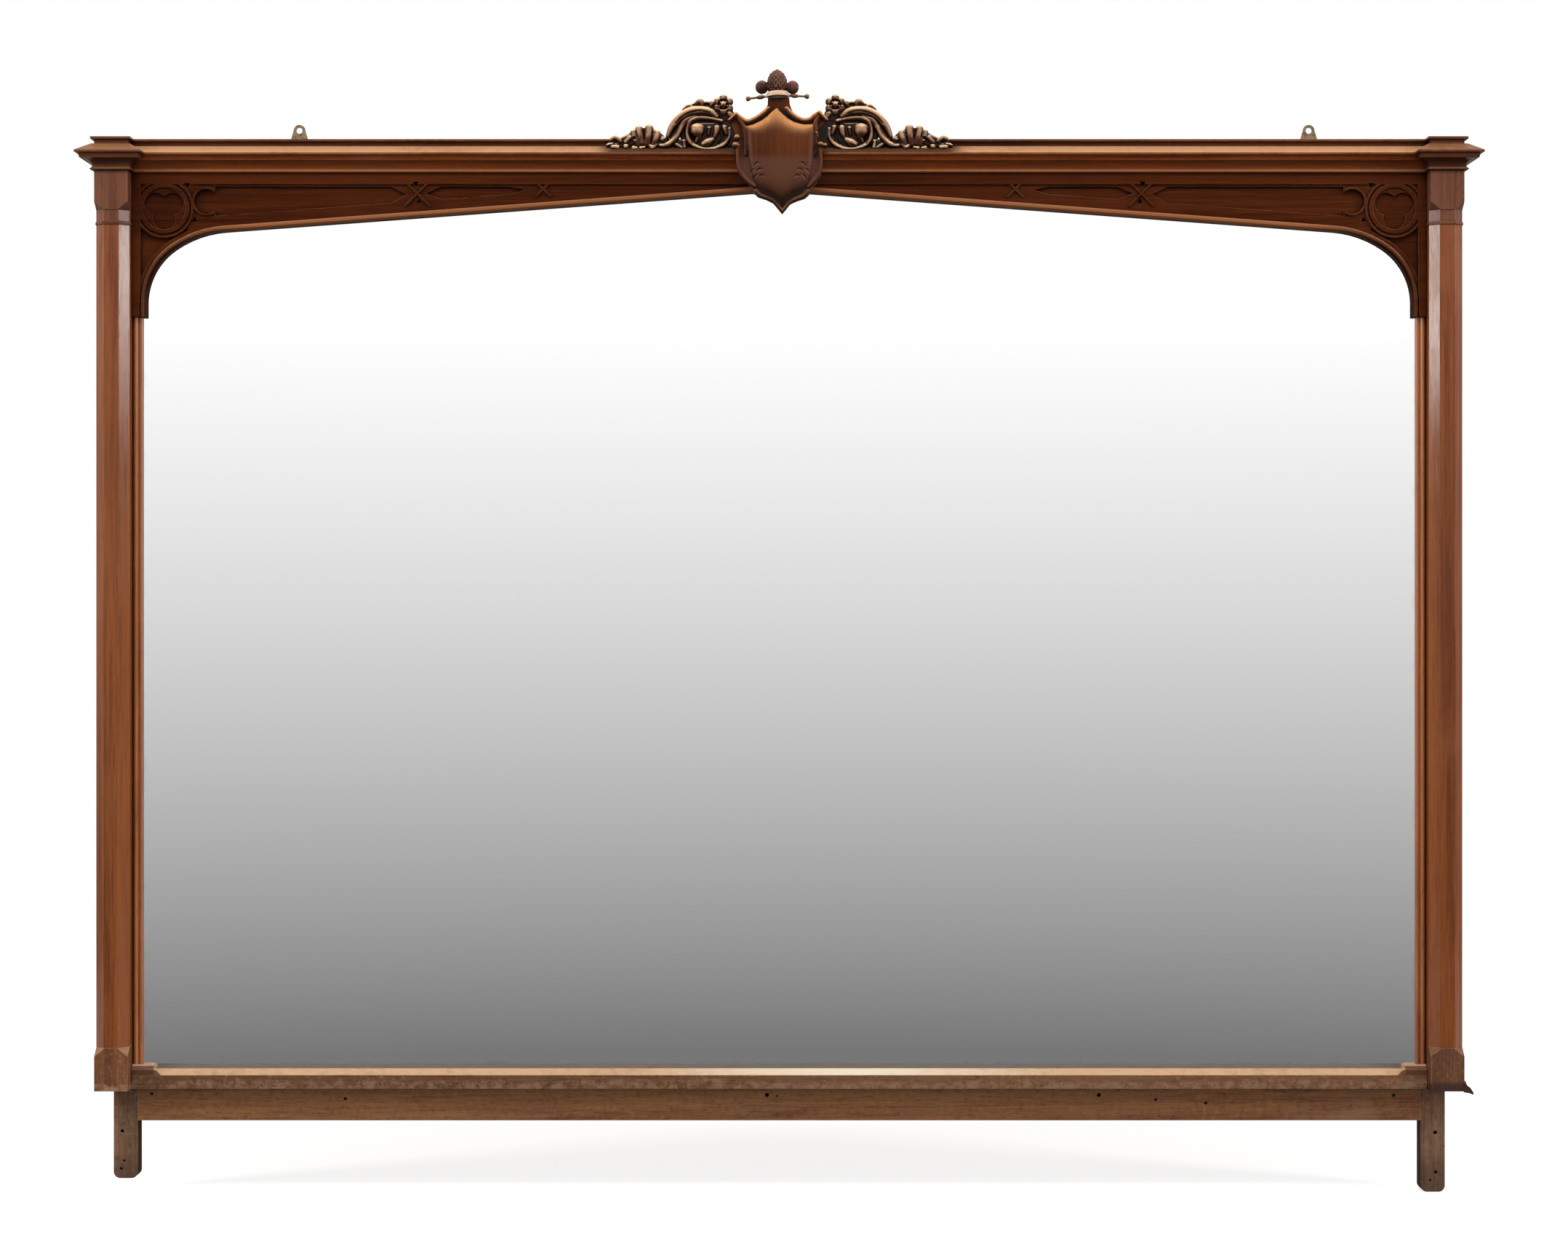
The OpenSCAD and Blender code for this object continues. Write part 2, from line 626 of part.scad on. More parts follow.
// Section of the cornice: [projection, height], a bead, a hollow, a fillet and a weathered nose
bead_r = 3.6;
nose_z = frame_top - 13;
module cornice_section() {
    hollow_r = nose_z - 8 - cornice_foot - 2 * bead_r;
    difference() {
        union() {
            square_from([0, cornice_foot], [bead_r * 0.6, nose_z]);
            translate([bead_r * 0.6, cornice_foot + bead_r]) circle(bead_r, $fn = 40);
            square_from([0, cornice_foot + 2 * bead_r], [cornice_out - 6, nose_z]);
            polygon([[0, nose_z - 8], [cornice_out - 6, nose_z - 8], [cornice_out - 4.5, nose_z - 3],
                     [cornice_out, nose_z - 1], [cornice_out, nose_z + 1.6],
                     [3.6, frame_top], [0, frame_top]]);
        }
        translate([cornice_out - 6, cornice_foot + 2 * bead_r])
            scale([(cornice_out - 8) / hollow_r, 1]) circle(hollow_r, $fn = 64);
        translate([-5, cornice_foot - 5]) square([5, cornice_h + 10]);
        translate([-5, cornice_foot - 5]) square([15, 5]);
    }
}
module square_from(a, b) translate(a) square(b - a);
// One straight length along X with its back on the plane y, cut in plan to a mitred outline
module length_x(x0, x1, y, plan) intersection() {
    translate([0, y, 0]) run_x(x0, x1) cornice_section();
    translate([0, 0, cornice_foot - cut]) linear_extrude(cornice_h + 2 * cut) polygon(plan);
}
// A return along Y with its back on the plane x, facing the side s
module length_y(x, s, y0, y1, plan) intersection() {
    translate([x, y1, 0]) rotate([90, 0, 0]) linear_extrude(y1 - y0)
        scale([s, 1]) cornice_section();
    translate([0, 0, cornice_foot - cut]) linear_extrude(cornice_h + 2 * cut) polygon(plan);
}
reach = cornice_out + cut;
module cornice_moulding() color("#6a3a1e")
    length_x(-post_in, post_in, frieze_front,
        [[-post_in, frieze_front], [post_in, frieze_front],
         [post_in - reach, frieze_front - reach], [-post_in + reach, frieze_front - reach]]);
module cap_moulding() color("#6a4230") {
    length_x(post_in - reach, post_out + reach, block_front,
        [[post_in, block_front], [post_out, block_front],
         [post_out + reach, block_front - reach], [post_in - reach, block_front - reach]]);
    length_y(post_out, 1, block_front - reach, 0,
        [[post_out, 0], [post_out + reach, 0], [post_out + reach, block_front - reach],
         [post_out, block_front]]);
    length_y(post_in, -1, block_front - reach, frieze_front,
        [[post_in, frieze_front], [post_in - reach, frieze_front - reach],
         [post_in - reach, block_front - reach], [post_in, block_front]]);
}
module left_cap_moulding() mirror([1, 0, 0]) cap_moulding();
module right_cap_moulding() cap_moulding();

// The capping closes the top of the frame and stands as a thin plate on a recessed neck
module cornice_capping() color("#5a3319") difference() {
    union() {
        neck = post_in - fit;
        edge = neck - capping_out;
        run_x(-neck, neck) square_from([0, frame_top], [-frieze_front, frame_top + capping_neck]);
        run_x(-edge, edge)
            square_from([0, frame_top + capping_neck], [capping_out - frieze_front, capping_top]);
    }
    plate_pockets();
}
module cap_plate() color("#5f3d2a") {
    translate([post_in, block_front, frame_top]) cube([pilaster_w, -block_front, capping_neck]);
    translate([post_in - capping_out, block_front - capping_out, frame_top + capping_neck])
        cube([pilaster_w + 2 * capping_out, capping_out - block_front, capping_t]);
}
module left_cap_plate() mirror([1, 0, 0]) cap_plate();
module right_cap_plate() cap_plate();

// ---------- crest ----------

shield_back = nose_front - fit;
shield_front = shield_back - shield_t;
shield_top = capping_top + shield_rise;
shield_tip = shield_top - shield_h;
// The shield and the finial lean together about the middle of the shield
module leaning() translate([shield_off, 0, shield_tip + shield_h / 2])
    rotate([0, -shield_lean, 0]) translate([0, 0, -shield_tip - shield_h / 2]) children();
// A point of the shield: [share of the half width, share of the height from the tip to the neck]
function on_shield(p) = [p[0] * shield_w / 2, shield_tip + p[1] * shield_h];
shield_half = [[0.222, 1], [0.363, 0.944], [0.527, 0.910], [0.677, 0.900], [0.818, 0.929],
               [0.928, 0.968], [1.154, 0.883], [1.012, 0.841], [0.903, 0.785], [0.886, 0.705],
               [0.911, 0.650], [0.970, 0.592], [1, 0.497], [0.970, 0.405], [0.890, 0.323],
               [0.736, 0.252], [0.635, 0.183], [0.361, 0.133], [0.187, 0.108], [0.092, 0.063], [0, 0]];
module shield_outline() {
    half = [for (p = smooth(shield_half, 3)) on_shield(p)];
    polygon(concat(half, [for (i = [len(half) - 2:-1:0]) [-half[i][0], half[i][1]]]));
    translate([-neck_w / 2, shield_top - cut]) square([neck_w, neck_h + cut]);
}
// The rolls along the top and the side of the shield, on the middle of each roll
top_roll = [[0.15, 0.985, 0.7], [0.32, 0.92, 0.9], [0.53, 0.882, 1], [0.72, 0.874, 1],
            [0.90, 0.915, 1.1], [1.03, 0.9, 1]];
side_roll = [[0.99, 0.87, 0.6], [0.85, 0.80, 0.9], [0.82, 0.715, 1], [0.85, 0.64, 1],
             [0.91, 0.575, 1], [0.93, 0.49, 1.05], [0.90, 0.41, 1], [0.80, 0.325, 1],
             [0.65, 0.262, 0.95], [0.52, 0.2, 0.85], [0.32, 0.158, 0.75], [0.12, 0.118, 0.6],
             [0.02, 0.07, 0.4]];
module shield_roll(path) band(
    [for (p = smooth(path, 2)) let (q = on_shield(p)) [q[0], q[1], rim_w * p[2], rim_relief * p[2] + cut]],
    round_section, shield_front + cut);
module shield_knob(a, b, r) hull() for (p = [a, b])
    translate([on_shield(p)[0], shield_front, on_shield(p)[1]]) sphere(r, $fn = 10);
module shield_cartouche() color("#6b4027") leaning() union() {
    raise(shield_back, shield_t) shield_outline();
    for (s = [0, 1]) mirror([s, 0, 0]) {
        shield_roll(top_roll);
        shield_roll(side_roll);
        shield_knob([1.02, 0.915], [1.11, 0.872], rim_w * 0.6);
        shield_knob([0.90, 0.735], [0.91, 0.725], rim_w * 0.55);
        shield_knob([0.92, 0.66], [0.95, 0.645], rim_w * 0.6);
        shield_knob([0.62, 0.2], [0.55, 0.185], rim_w * 0.5);
    }
}
// The field: a keel that swells out below the neck, turns under and runs down to the tip.
// Stations: [height share, share of the width, share of the bulge]
field_keel = [[0.955, 0.02, 0.12], [0.925, 0.11, 0.32], [0.885, 0.26, 0.52], [0.85, 0.47, 0.7],
              [0.825, 0.645, 0.82], [0.785, 0.69, 0.93], [0.73, 0.69, 1], [0.685, 0.685, 0.96],
              [0.62, 0.68, 0.76], [0.53, 0.70, 0.52], [0.43, 0.71, 0.42], [0.33, 0.63, 0.38],
              [0.26, 0.5, 0.34], [0.21, 0.32, 0.3], [0.165, 0.12, 0.22], [0.13, 0.015, 0.1]];
keel_section = [[0, 0], [-1, 0], [-0.97, 0.3], [-0.8, 0.62], [-0.45, 0.84], [-0.12, 0.95], [0, 1],
                [0.12, 0.95], [0.45, 0.84], [0.8, 0.62], [0.97, 0.3], [1, 0]];
module shield_field() color("#a8703f") leaning() band(
    [for (p = smooth(field_keel, 2)) [0, on_shield([0, p[0]])[1], p[1] * shield_w, p[2] * shield_bulge]],
    keel_section, shield_front);
// Block that fills between the frieze and the back of the shield
backing_drop = 30;
module shield_backing() color("#5a3a22")
    translate([-shield_w * 0.3, shield_back, cornice_foot - backing_drop])
        cube([shield_w * 0.6, frieze_front - shield_back, backing_drop - fit]);

finial_y = shield_back - shield_t / 2;
collar_z = shield_top + neck_h;
// A thin turned arm with a knob at its end, drawn as [radius, distance]
arm_profile = [[0, 0], [2, 0], [1.7, 0.4], [3, 0.5], [2.9, 0.58], [1.5, 0.66], [1.4, 0.84],
               [3, 0.88], [3.6, 0.93], [2.9, 0.98], [0, 1]];
module finial_collar() color("#8b6a4c") leaning() translate([0, finial_y, collar_z]) union() {
    rotate_extrude($fn = 64) polygon([[0, 0], [collar_r - 2, 0], [collar_r, 2], [collar_r, collar_h - 2],
                                      [collar_r - 2, collar_h], [0, collar_h]]);
    for (s = [-1, 1]) translate([0, 0, collar_h / 2]) rotate([0, s * (90 + arm_droop), 0])
        rotate_extrude($fn = 32) polygon([for (p = arm_profile) [p[0], p[1] * arm_reach]]);
}
bud_profile = [[0.78, 0], [0.97, 0.06], [1, 0.2], [0.95, 0.38], [0.84, 0.52], [0.8, 0.68], [0.7, 0.84],
               [0.46, 0.95], [0.15, 0.995]];
lobe_profile = [[0.35, -1.05], [0.8, -0.8], [1, -0.25], [0.98, 0.35], [0.72, 0.85], [0.25, 1.08]];
module turned(profile, r, h) rotate_extrude($fn = 48) polygon(concat(
    [[0, profile[0][1] * h]], [for (p = smooth(profile, 2)) [p[0] * r, p[1] * h]],
    [[0, profile[len(profile) - 1][1] * h]]));
module finial_bud() color("#5d4030") leaning()
    translate([0, finial_y, collar_z + collar_h]) union() {
        turned(bud_profile, bud_r, bud_h);
        for (s = [-1, 1]) translate([s * side_lobe_x, 0, side_lobe_r * 0.75])
            turned(lobe_profile, side_lobe_r, side_lobe_r);
        translate([-side_lobe_x, 0, 3.6]) rotate([0, 90, 0]) cylinder(r = 3.2, h = 2 * side_lobe_x, $fn = 32);
    }

// The crest stands in front of the capping and its foot is scribed over the weathering
crest_back = frieze_front - capping_out - fit;
crest_face = crest_back - crest_t;
module scribe() {
    run_x(0, crest_gap + scroll_l + leaf_l + crest_t)
        polygon([[0, cornice_foot], [0, frame_top + fit], [-frieze_front + 3.6, frame_top + fit],
                 [-nose_front, nose_z + 1.6 + fit], [-nose_front + 20, nose_z + 1.6 + fit],
                 [-nose_front + 20, cornice_foot]]);
}
// Carving is drawn from its own inner end, [distance outwards, height above the frame], at
// its first size, and $k stretches its places to the length and height that are set
module carving(start, size, first) difference() {
    $k = [size[0] / first[0], size[1] / first[1]];
    translate([start, 0, frame_top]) union() children();
    scribe();
}
function set_out(p) = [p[0] * $k[0], p[1] * $k[1]];
// A swelling lobe from a to b, each given as [distance, height, radius]
module lobe(a, b) hull() for (p = [a, b])
    translate([set_out(p)[0], crest_face + p[2] * 0.2, set_out(p)[1]]) sphere(p[2], $fn = 8);
module crest_board(points) raise(crest_back, crest_t) polygon(smooth([for (p = points) set_out(p)], 3));
// Bands of a scroll: [distance, height, width, relief beyond the board's thickness]
function relieved(p) = [set_out(p)[0], set_out(p)[1], p[2], crest_t + p[3] * crest_relief];
module crest_scroll() color("#6d4a35") carving(crest_gap, [scroll_l, scroll_h], [98, 71]) {
    crest_board([[0, 2], [0, 30], [6, 44], [12, 62], [28, 62], [50, 60], [70, 47], [85, 24], [92, 2]]);
    // The broad C-scroll that rises from the foot and rolls over to the shield
    band([for (p = smooth([[92, -3, 8, 0.5], [91.9, 10.7, 11, 0.85], [83.6, 27, 13, 1],
                           [74.1, 38.9, 13, 1.1], [63.5, 47.5, 13, 1.1], [51.7, 50, 12, 1.1],
                           [38.7, 48, 11, 1], [29, 42, 9, 0.9], [22, 36, 6, 0.7]], 3)) relieved(p)],
         hollow_section, crest_back);
    // The volute: an oval roll with an inner crescent, round a ball and a berry
    band([for (a = [-200:18:150]) relieved([37 + 29 * cos(a), 16 + 19.5 * sin(a), 5, 0.8 - a / 500])],
         round_section, crest_back);
    band([for (p = smooth([[56, 37, 4, 0.5], [62, 31, 5, 0.7], [62.5, 22, 5, 0.75], [58.5, 13, 4, 0.5]], 2))
          relieved(p)], round_section, crest_back);
    lobe([55, 25, 6.2], [49, 20.5, 5.6]);
    lobe([35, 4, 4.2], [42, 6, 4.2]);
    lobe([27, 27, 4], [26, 14, 4.4]);
    lobe([71.8, 1.5, 4.2], [78, 0, 3.5]);
    lobe([94, 0.5, 4.6], [89, -2, 4]);
    lobe([14, 26, 4.6], [19, 10, 4.2]);
    lobe([5, 8, 4.5], [6, 26, 5]);
    // Leaf tips along the back of the scroll
    for (p = [[73, 50, 5], [66, 56, 5], [52, 61, 5.5], [45, 65, 4.6], [33, 61, 5]])
        lobe(p, [p[0] - 5, p[1] - 8, p[2] - 1.2]);
    lobe([15, 67, 3.4], [16, 62, 4.4]);
    // The rosette at the shoulder of the shield
    shoulder = set_out([17.4, 56.7]);
    translate([shoulder[0], crest_face, shoulder[1]]) rotate([90, 0, 0]) rotate_extrude($fn = 24)
        polygon([[0, -2], [13.5, -2], [14, 3], [11.5, 7], [8.2, 5.5], [6, 2.5], [4.2, 2.5], [3.6, 6],
                 [0, 7.2]]);
}
module left_crest_scroll() mirror([1, 0, 0]) crest_scroll();
module right_crest_scroll() crest_scroll();

// The acanthus that ends the crest: a ribbed dome, a small leaf and a scalloped foot
module crest_leaf() color("#8f6748") carving(crest_gap + scroll_l, [leaf_l, leaf_h], [80, 30]) {
    crest_board([[0, 1], [1, 16], [8, 24], [18, 28], [30, 28], [41, 20], [50, 9], [63, 10], [75, 9],
                 [80, 3], [80, 1]]);
    for (p = [[8, 19.5, 5.4, 5], [17, 24, 6.2, 16], [27, 24.5, 6, 30], [35.5, 22, 5.6, 42]])
        lobe([p[0], p[1], p[2]], [p[3], 3, 4.8]);
    lobe([74, 7.5, 4.4], [71, 2, 4]);
    lobe([65, 8.5, 4.6], [63, 2, 4]);
    lobe([55.4, 6.5, 4.2], [54, 2, 4]);
    // Scallops of the foot: [middle, half length]
    for (p = [[67, 4], [52.5, 2], [37, 6], [17.6, 6.5], [2.5, 2]])
        lobe([p[0] - p[1], -2.5, 3.8], [p[0] + p[1], -2.5, 3.8]);
}
module left_crest_leaf() mirror([1, 0, 0]) crest_leaf();
module right_crest_leaf() crest_leaf();

// ---------- hanging plates ----------

eye_z = capping_top + eye_rise;
// Places of the left and the right plate along the rail
plate_xs = [left_plate_in - stile_in, stile_in - right_plate_in];
plate_foot = frame_top - plate_l;
plate_holes = [[-plate_w / 3, 8], [plate_w / 3, 8], [0, plate_l - 10]];
module plate_outline(extra) {
    shoulder = frame_top - 8;
    translate([-plate_w / 2 - extra, plate_foot - extra])
        square([plate_w + 2 * extra, shoulder - plate_foot + extra]);
    polygon([[-plate_w / 2 - extra, shoulder], [plate_w / 2 + extra, shoulder],
             [eye_d / 2 + extra, eye_z], [-eye_d / 2 - extra, eye_z]]);
    translate([0, eye_z]) circle(d = eye_d + 2 * extra, $fn = 48);
}
module plate_pockets() {
    for (x = plate_xs) translate([x, 0, 0]) {
        raise(cut, plate_t + fit + cut) plate_outline(fit);
        for (h = plate_holes) translate([h[0], 0, plate_foot + h[1]]) rotate([90, 0, 0])
            cylinder(d = plate_screw, h = plate_screw_l + fit, $fn = 24);
    }
}
module hanging_plate() color("#9a8f78") difference() {
    raise(0, plate_t) plate_outline(0);
    translate([0, cut, eye_z]) rotate([90, 0, 0]) cylinder(d = eye_hole, h = plate_t + 2 * cut, $fn = 48);
    for (h = plate_holes) translate([h[0], 0, plate_foot + h[1]]) rotate([90, 0, 0]) {
        translate([0, 0, -cut]) cylinder(d = plate_screw + fit, h = plate_t + 2 * cut, $fn = 24);
        cylinder(r1 = plate_screw, r2 = plate_screw / 2, h = plate_t, $fn = 24);
    }
}
module left_hanging_plate() translate([plate_xs[0], 0, 0]) hanging_plate();
module right_hanging_plate() translate([plate_xs[1], 0, 0]) hanging_plate();
module hanging_plate_screws() color("#7d7566")
    for (x = plate_xs) for (h = plate_holes)
        translate([x + h[0], 0, plate_foot + h[1]]) rotate([90, 0, 0]) {
            cylinder(r1 = plate_screw - fit, r2 = plate_screw / 2 - fit / 2, h = plate_t, $fn = 24);
            cylinder(d = plate_screw - fit, h = plate_screw_l, $fn = 24);
        }

mirror_plate();
left_stile();
right_stile();
top_rail();
base_rail();
sill();
left_slip();
right_slip();
left_spandrel_ground();
right_spandrel_ground();
left_tracery();
right_tracery();
left_arch_moulding();
right_arch_moulding();
left_pilaster();
right_pilaster();
left_capital_block();
right_capital_block();
left_neck_ring();
right_neck_ring();
left_base_block();
right_base_block();
base_moulding_fragment();
cornice_moulding();
cornice_capping();
left_cap_moulding();
right_cap_moulding();
left_cap_plate();
right_cap_plate();
shield_backing();
shield_cartouche();
shield_field();
finial_collar();
finial_bud();
left_crest_scroll();
right_crest_scroll();
left_crest_leaf();
right_crest_leaf();
left_hanging_plate();
right_hanging_plate();
hanging_plate_screws();
glass_wedges();
for (i = [0:board_count - 1]) backboard(i);
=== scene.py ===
import math
import bpy
import bmesh
import numpy as np
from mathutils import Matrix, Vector


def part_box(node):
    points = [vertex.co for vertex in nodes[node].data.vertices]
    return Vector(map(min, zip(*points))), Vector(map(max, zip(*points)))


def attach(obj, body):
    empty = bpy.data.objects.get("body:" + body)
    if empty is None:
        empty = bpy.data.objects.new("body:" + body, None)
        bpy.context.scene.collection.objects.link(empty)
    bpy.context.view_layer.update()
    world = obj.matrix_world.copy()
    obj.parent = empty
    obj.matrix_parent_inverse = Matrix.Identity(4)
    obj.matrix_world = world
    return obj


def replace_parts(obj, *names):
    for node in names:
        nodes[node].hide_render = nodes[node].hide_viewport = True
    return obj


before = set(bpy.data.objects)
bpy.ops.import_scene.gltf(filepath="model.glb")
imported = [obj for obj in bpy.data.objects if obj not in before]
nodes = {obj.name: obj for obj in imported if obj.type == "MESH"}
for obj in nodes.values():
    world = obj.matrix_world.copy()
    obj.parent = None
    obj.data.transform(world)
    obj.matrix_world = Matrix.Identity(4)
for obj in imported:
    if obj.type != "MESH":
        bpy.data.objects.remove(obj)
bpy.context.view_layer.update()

scene = bpy.context.scene
scene.view_settings.view_transform = "Standard"


def tone(red, green, blue):
    # a colour as a paint chart gives it, 0 to 255, turned into Blender's linear values
    def linear(value):
        value /= 255
        return value / 12.92 if value <= 0.04045 else ((value + 0.055) / 1.055) ** 2.4
    return (linear(red), linear(green), linear(blue))


class Wire:  # a socket that can be added and multiplied; each operation adds its Math node
    def __init__(self, tree, socket=None):
        self.tree = tree
        self.socket = socket

    def node(self, kind, settings=None, values=None, out=0):
        # any other node: its settings come first, then the values or links of its sockets
        made = self.tree.nodes.new("ShaderNode" + kind)
        for name, value in (settings or {}).items():
            setattr(made, name, value)
        for name, value in (values or {}).items():
            socket = made.inputs[name]
            if isinstance(value, Wire):
                self.tree.links.new(value.socket, socket)
            elif socket.type == "RGBA" and len(value) == 3:
                socket.default_value = (*value, 1)
            else:
                socket.default_value = value
        return Wire(self.tree, made.outputs[out])

    def output(self, out):
        return Wire(self.tree, self.socket.node.outputs[out])

    def maths(self, operation, first, second=0.0):
        return self.node("Math", {"operation": operation}, {0: first, 1: second})

    def __add__(self, other):
        return self.maths("ADD", self, other)

    def __radd__(self, other):
        return self.maths("ADD", other, self)

    def __sub__(self, other):
        return self.maths("SUBTRACT", self, other)

    def __rsub__(self, other):
        return self.maths("SUBTRACT", other, self)

    def __mul__(self, other):
        return self.maths("MULTIPLY", self, other)

    def __rmul__(self, other):
        return self.maths("MULTIPLY", other, self)

    def __truediv__(self, other):
        return self.maths("DIVIDE", self, other)

    def __rtruediv__(self, other):
        return self.maths("DIVIDE", other, self)

    def __abs__(self):
        return self.maths("ABSOLUTE", self)


def colours(amount, first, second):
    # goes from the first colour to the second by the amount
    return amount.node("Mix", {"data_type": "RGBA"}, {0: amount, 6: first, 7: second}, 2)


def between(wire, low, high, low2=0.0, high2=1.0):
    # a smooth step from low2 to high2 while the wire goes from low to high
    return wire.node("MapRange", {"interpolation_type": "SMOOTHSTEP"},
                     {"Value": wire, "From Min": low, "From Max": high, "To Min": low2, "To Max": high2})


def noise(place, scale, detail, roughness=0.5, distortion=0.0):
    return place.node("TexNoise", None, {"Vector": place, "Scale": scale, "Detail": detail, "Roughness": roughness,
                                         "Distortion": distortion})


def vectorMath(operation, first, second, out=0):
    return first.node("VectorMath", {"operation": operation}, {0: first, 1: second}, out)


def axis(vector, number):
    return vector.node("SeparateXYZ", None, {0: vector}, number)


def finish(name):
    # a new material, the wire that starts its tree, and its surface shader
    material = bpy.data.materials.new(name)
    material.use_nodes = True
    tree = material.node_tree
    return material, Wire(tree), tree.nodes["Principled BSDF"]


def connect(shader, **sockets):
    for name, value in sockets.items():
        socket = shader.inputs[name.replace("_", " ")]
        if isinstance(value, Wire):
            value.tree.links.new(value.socket, socket)
        else:
            socket.default_value = value


print("stage: camera, studio and floor")
view = {
    "place": (0.0065, -4.058, 0.645),
    "lens": 66.8,
    "filmWidth": 36.0,
    "farthest": 60,
}
lens = bpy.data.cameras.new("studioCamera")
lens.sensor_fit = "HORIZONTAL"
lens.sensor_width = view["filmWidth"]
lens.lens = view["lens"]
lens.clip_end = view["farthest"]
camera = bpy.data.objects.new("studioCamera", lens)
camera.location = view["place"]
camera.rotation_euler = (math.pi / 2, 0, 0)  # level, straight at the front
scene.collection.objects.link(camera)
scene.camera = camera

studio = {
    "horizonLevel": 0.74,   # brightness of the room straight ahead of the glass
    "levelRise": 3.7,       # how fast the room gets lighter upwards
    "darkest": 0.20,
    "brightest": 1.1,
}


def buildRoom():
    # a grey room for the reflections, white where the camera sees it
    world = bpy.data.worlds.new("studioRoom")
    world.use_nodes = True
    scene.world = world
    tree = world.node_tree
    start = Wire(tree)
    level = axis(start.node("TexCoord"), 2) * studio["levelRise"] + studio["horizonLevel"]
    level = level.maths("MINIMUM", level.maths("MAXIMUM", level, studio["darkest"]), studio["brightest"])
    grey = start.node("CombineColor", None, {0: level, 1: level, 2: level})
    isCamera = start.node("LightPath")
    white = start.maths("MAXIMUM", isCamera, isCamera.output("Is Transmission Ray"))
    room = start.node("Background", None, {"Color": grey, "Strength": 1.0})
    backdrop = start.node("Background", None, {"Color": (1, 1, 1), "Strength": 1.0})
    mixed = start.node("MixShader", None, {0: white, 1: room, 2: backdrop})
    tree.links.new(mixed.socket, tree.nodes["World Output"].inputs["Surface"])


buildRoom()

lamps = [
    # name, place, aimed at, width, height, watts
    ("overheadSoftbox", (0.0, -1.9, 3.2), (0.0, -0.05, 0.6), 2.2, 1.3, 60),
    ("leftStrip", (-2.7, -0.93, 1.85), (0.92, -0.06, 1.0), 0.4, 1.2, 50),
    ("rightStrip", (2.7, -0.93, 1.88), (-0.92, -0.06, 1.0), 0.4, 1.2, 50),
]
for name, place, target, width, height, watts in lamps:
    lamp = bpy.data.lights.new(name, "AREA")
    lamp.shape = "RECTANGLE"
    lamp.size = width
    lamp.size_y = height
    lamp.energy = watts
    holder = bpy.data.objects.new(name, lamp)
    holder.location = place
    holder.rotation_euler = (Vector(target) - Vector(place)).to_track_quat("-Z", "Y").to_euler()
    holder.visible_camera = False
    scene.collection.objects.link(holder)

floor = {
    "level": -0.145,
    "front": -0.9,
    "back": 3.2,
    "halfWidth": 3.4,
    "glow": 0.66,
    "paper": (0.3, 0.3, 0.3, 1),
    "rough": 0.9,
}


def buildFloor():
    # pale paper that keeps the shadow, and glows only for the camera and in the glass
    mesh = bpy.data.meshes.new("studioFloor")
    x, front, back, z = (floor[key] for key in ("halfWidth", "front", "back", "level"))
    mesh.from_pydata([(-x, front, z), (x, front, z), (x, back, z), (-x, back, z)], [], [(0, 1, 2, 3)])
    ground = bpy.data.objects.new("studioFloor", mesh)
    scene.collection.objects.link(ground)
    material, start, shader = finish("studioPaper")
    connect(shader, Base_Color=floor["paper"], Roughness=floor["rough"], Specular_IOR_Level=0.0)
    isCamera = start.node("LightPath")
    seen = start.maths("MAXIMUM", isCamera, isCamera.output("Is Glossy Ray"))
    paper = Wire(start.tree, shader.outputs[0])
    glow = start.node("Emission", None, {"Color": (1, 1, 1), "Strength": floor["glow"]})
    both = start.node("AddShader", None, {0: paper, 1: glow})
    mixed = start.node("MixShader", None, {0: seen, 1: paper, 2: both})
    start.tree.links.new(mixed.socket, start.tree.nodes["Material Output"].inputs["Surface"])
    mesh.materials.append(material)


buildFloor()

print("stage: finishes")

woodNoise = {  # scale, detail, roughness and distortion; the rings get their scale from the look
    "drift": (14.0, 3.0, 0.6), "fibres": (420.0, 5.0, 0.62, 0.4), "pores": (1500.0, 2.0), "rings": (4.0, 0.55, 1.4),
    "patches": (7.0, 4.0, 0.6), "grime": (90.0, 6.0, 0.7), "spots": (130.0, 7.0, 0.72),
}
woodSteps = {  # where an effect starts and is full, then its own two ends where they aren't 0 and 1
    "rings": (0.36, 0.66), "drift": (0.62, 0.95, 0.0, 0.75), "bloom": (0.5, 0.72, 0.0, 0.55), "pores": (0.60, 0.70),
    "knotRing": (0.075, 0.035), "knotHeart": (0.04, 0.02), "darkSpots": (0.52, 0.66), "paleSpots": (0.46, 0.34),
    "dirtAndShade": (0.25, 0.85), "arris": (0.985, 0.90), "open": (0.72, 0.9), "rubbed": (0.62, 0.9),
    "carvedGroundDirtAndShade": (0.1, -0.5, 0.0, 0.96), "carvedCrownWearAndHighlight": (0.35, 1.15), "sides": (0.75, 0.97),
    "scuffed": (0.40, 0.62), "dustAndTopLight": (0.30, 0.62, 0.55, 1.0),
}
woodTurns = {"dustAndTopLight": 0.5, "under": -0.6, "paintedLightSpan": 0.35}  # how much further a face tips until the effect is full
woodKnots = {"stretch": (1.0, 0.2, 0.55), "scale": 3.1, "waver": 0.02}
fade, waver = 0.003, 0.02  # metres over which a level fades, and by which it wanders


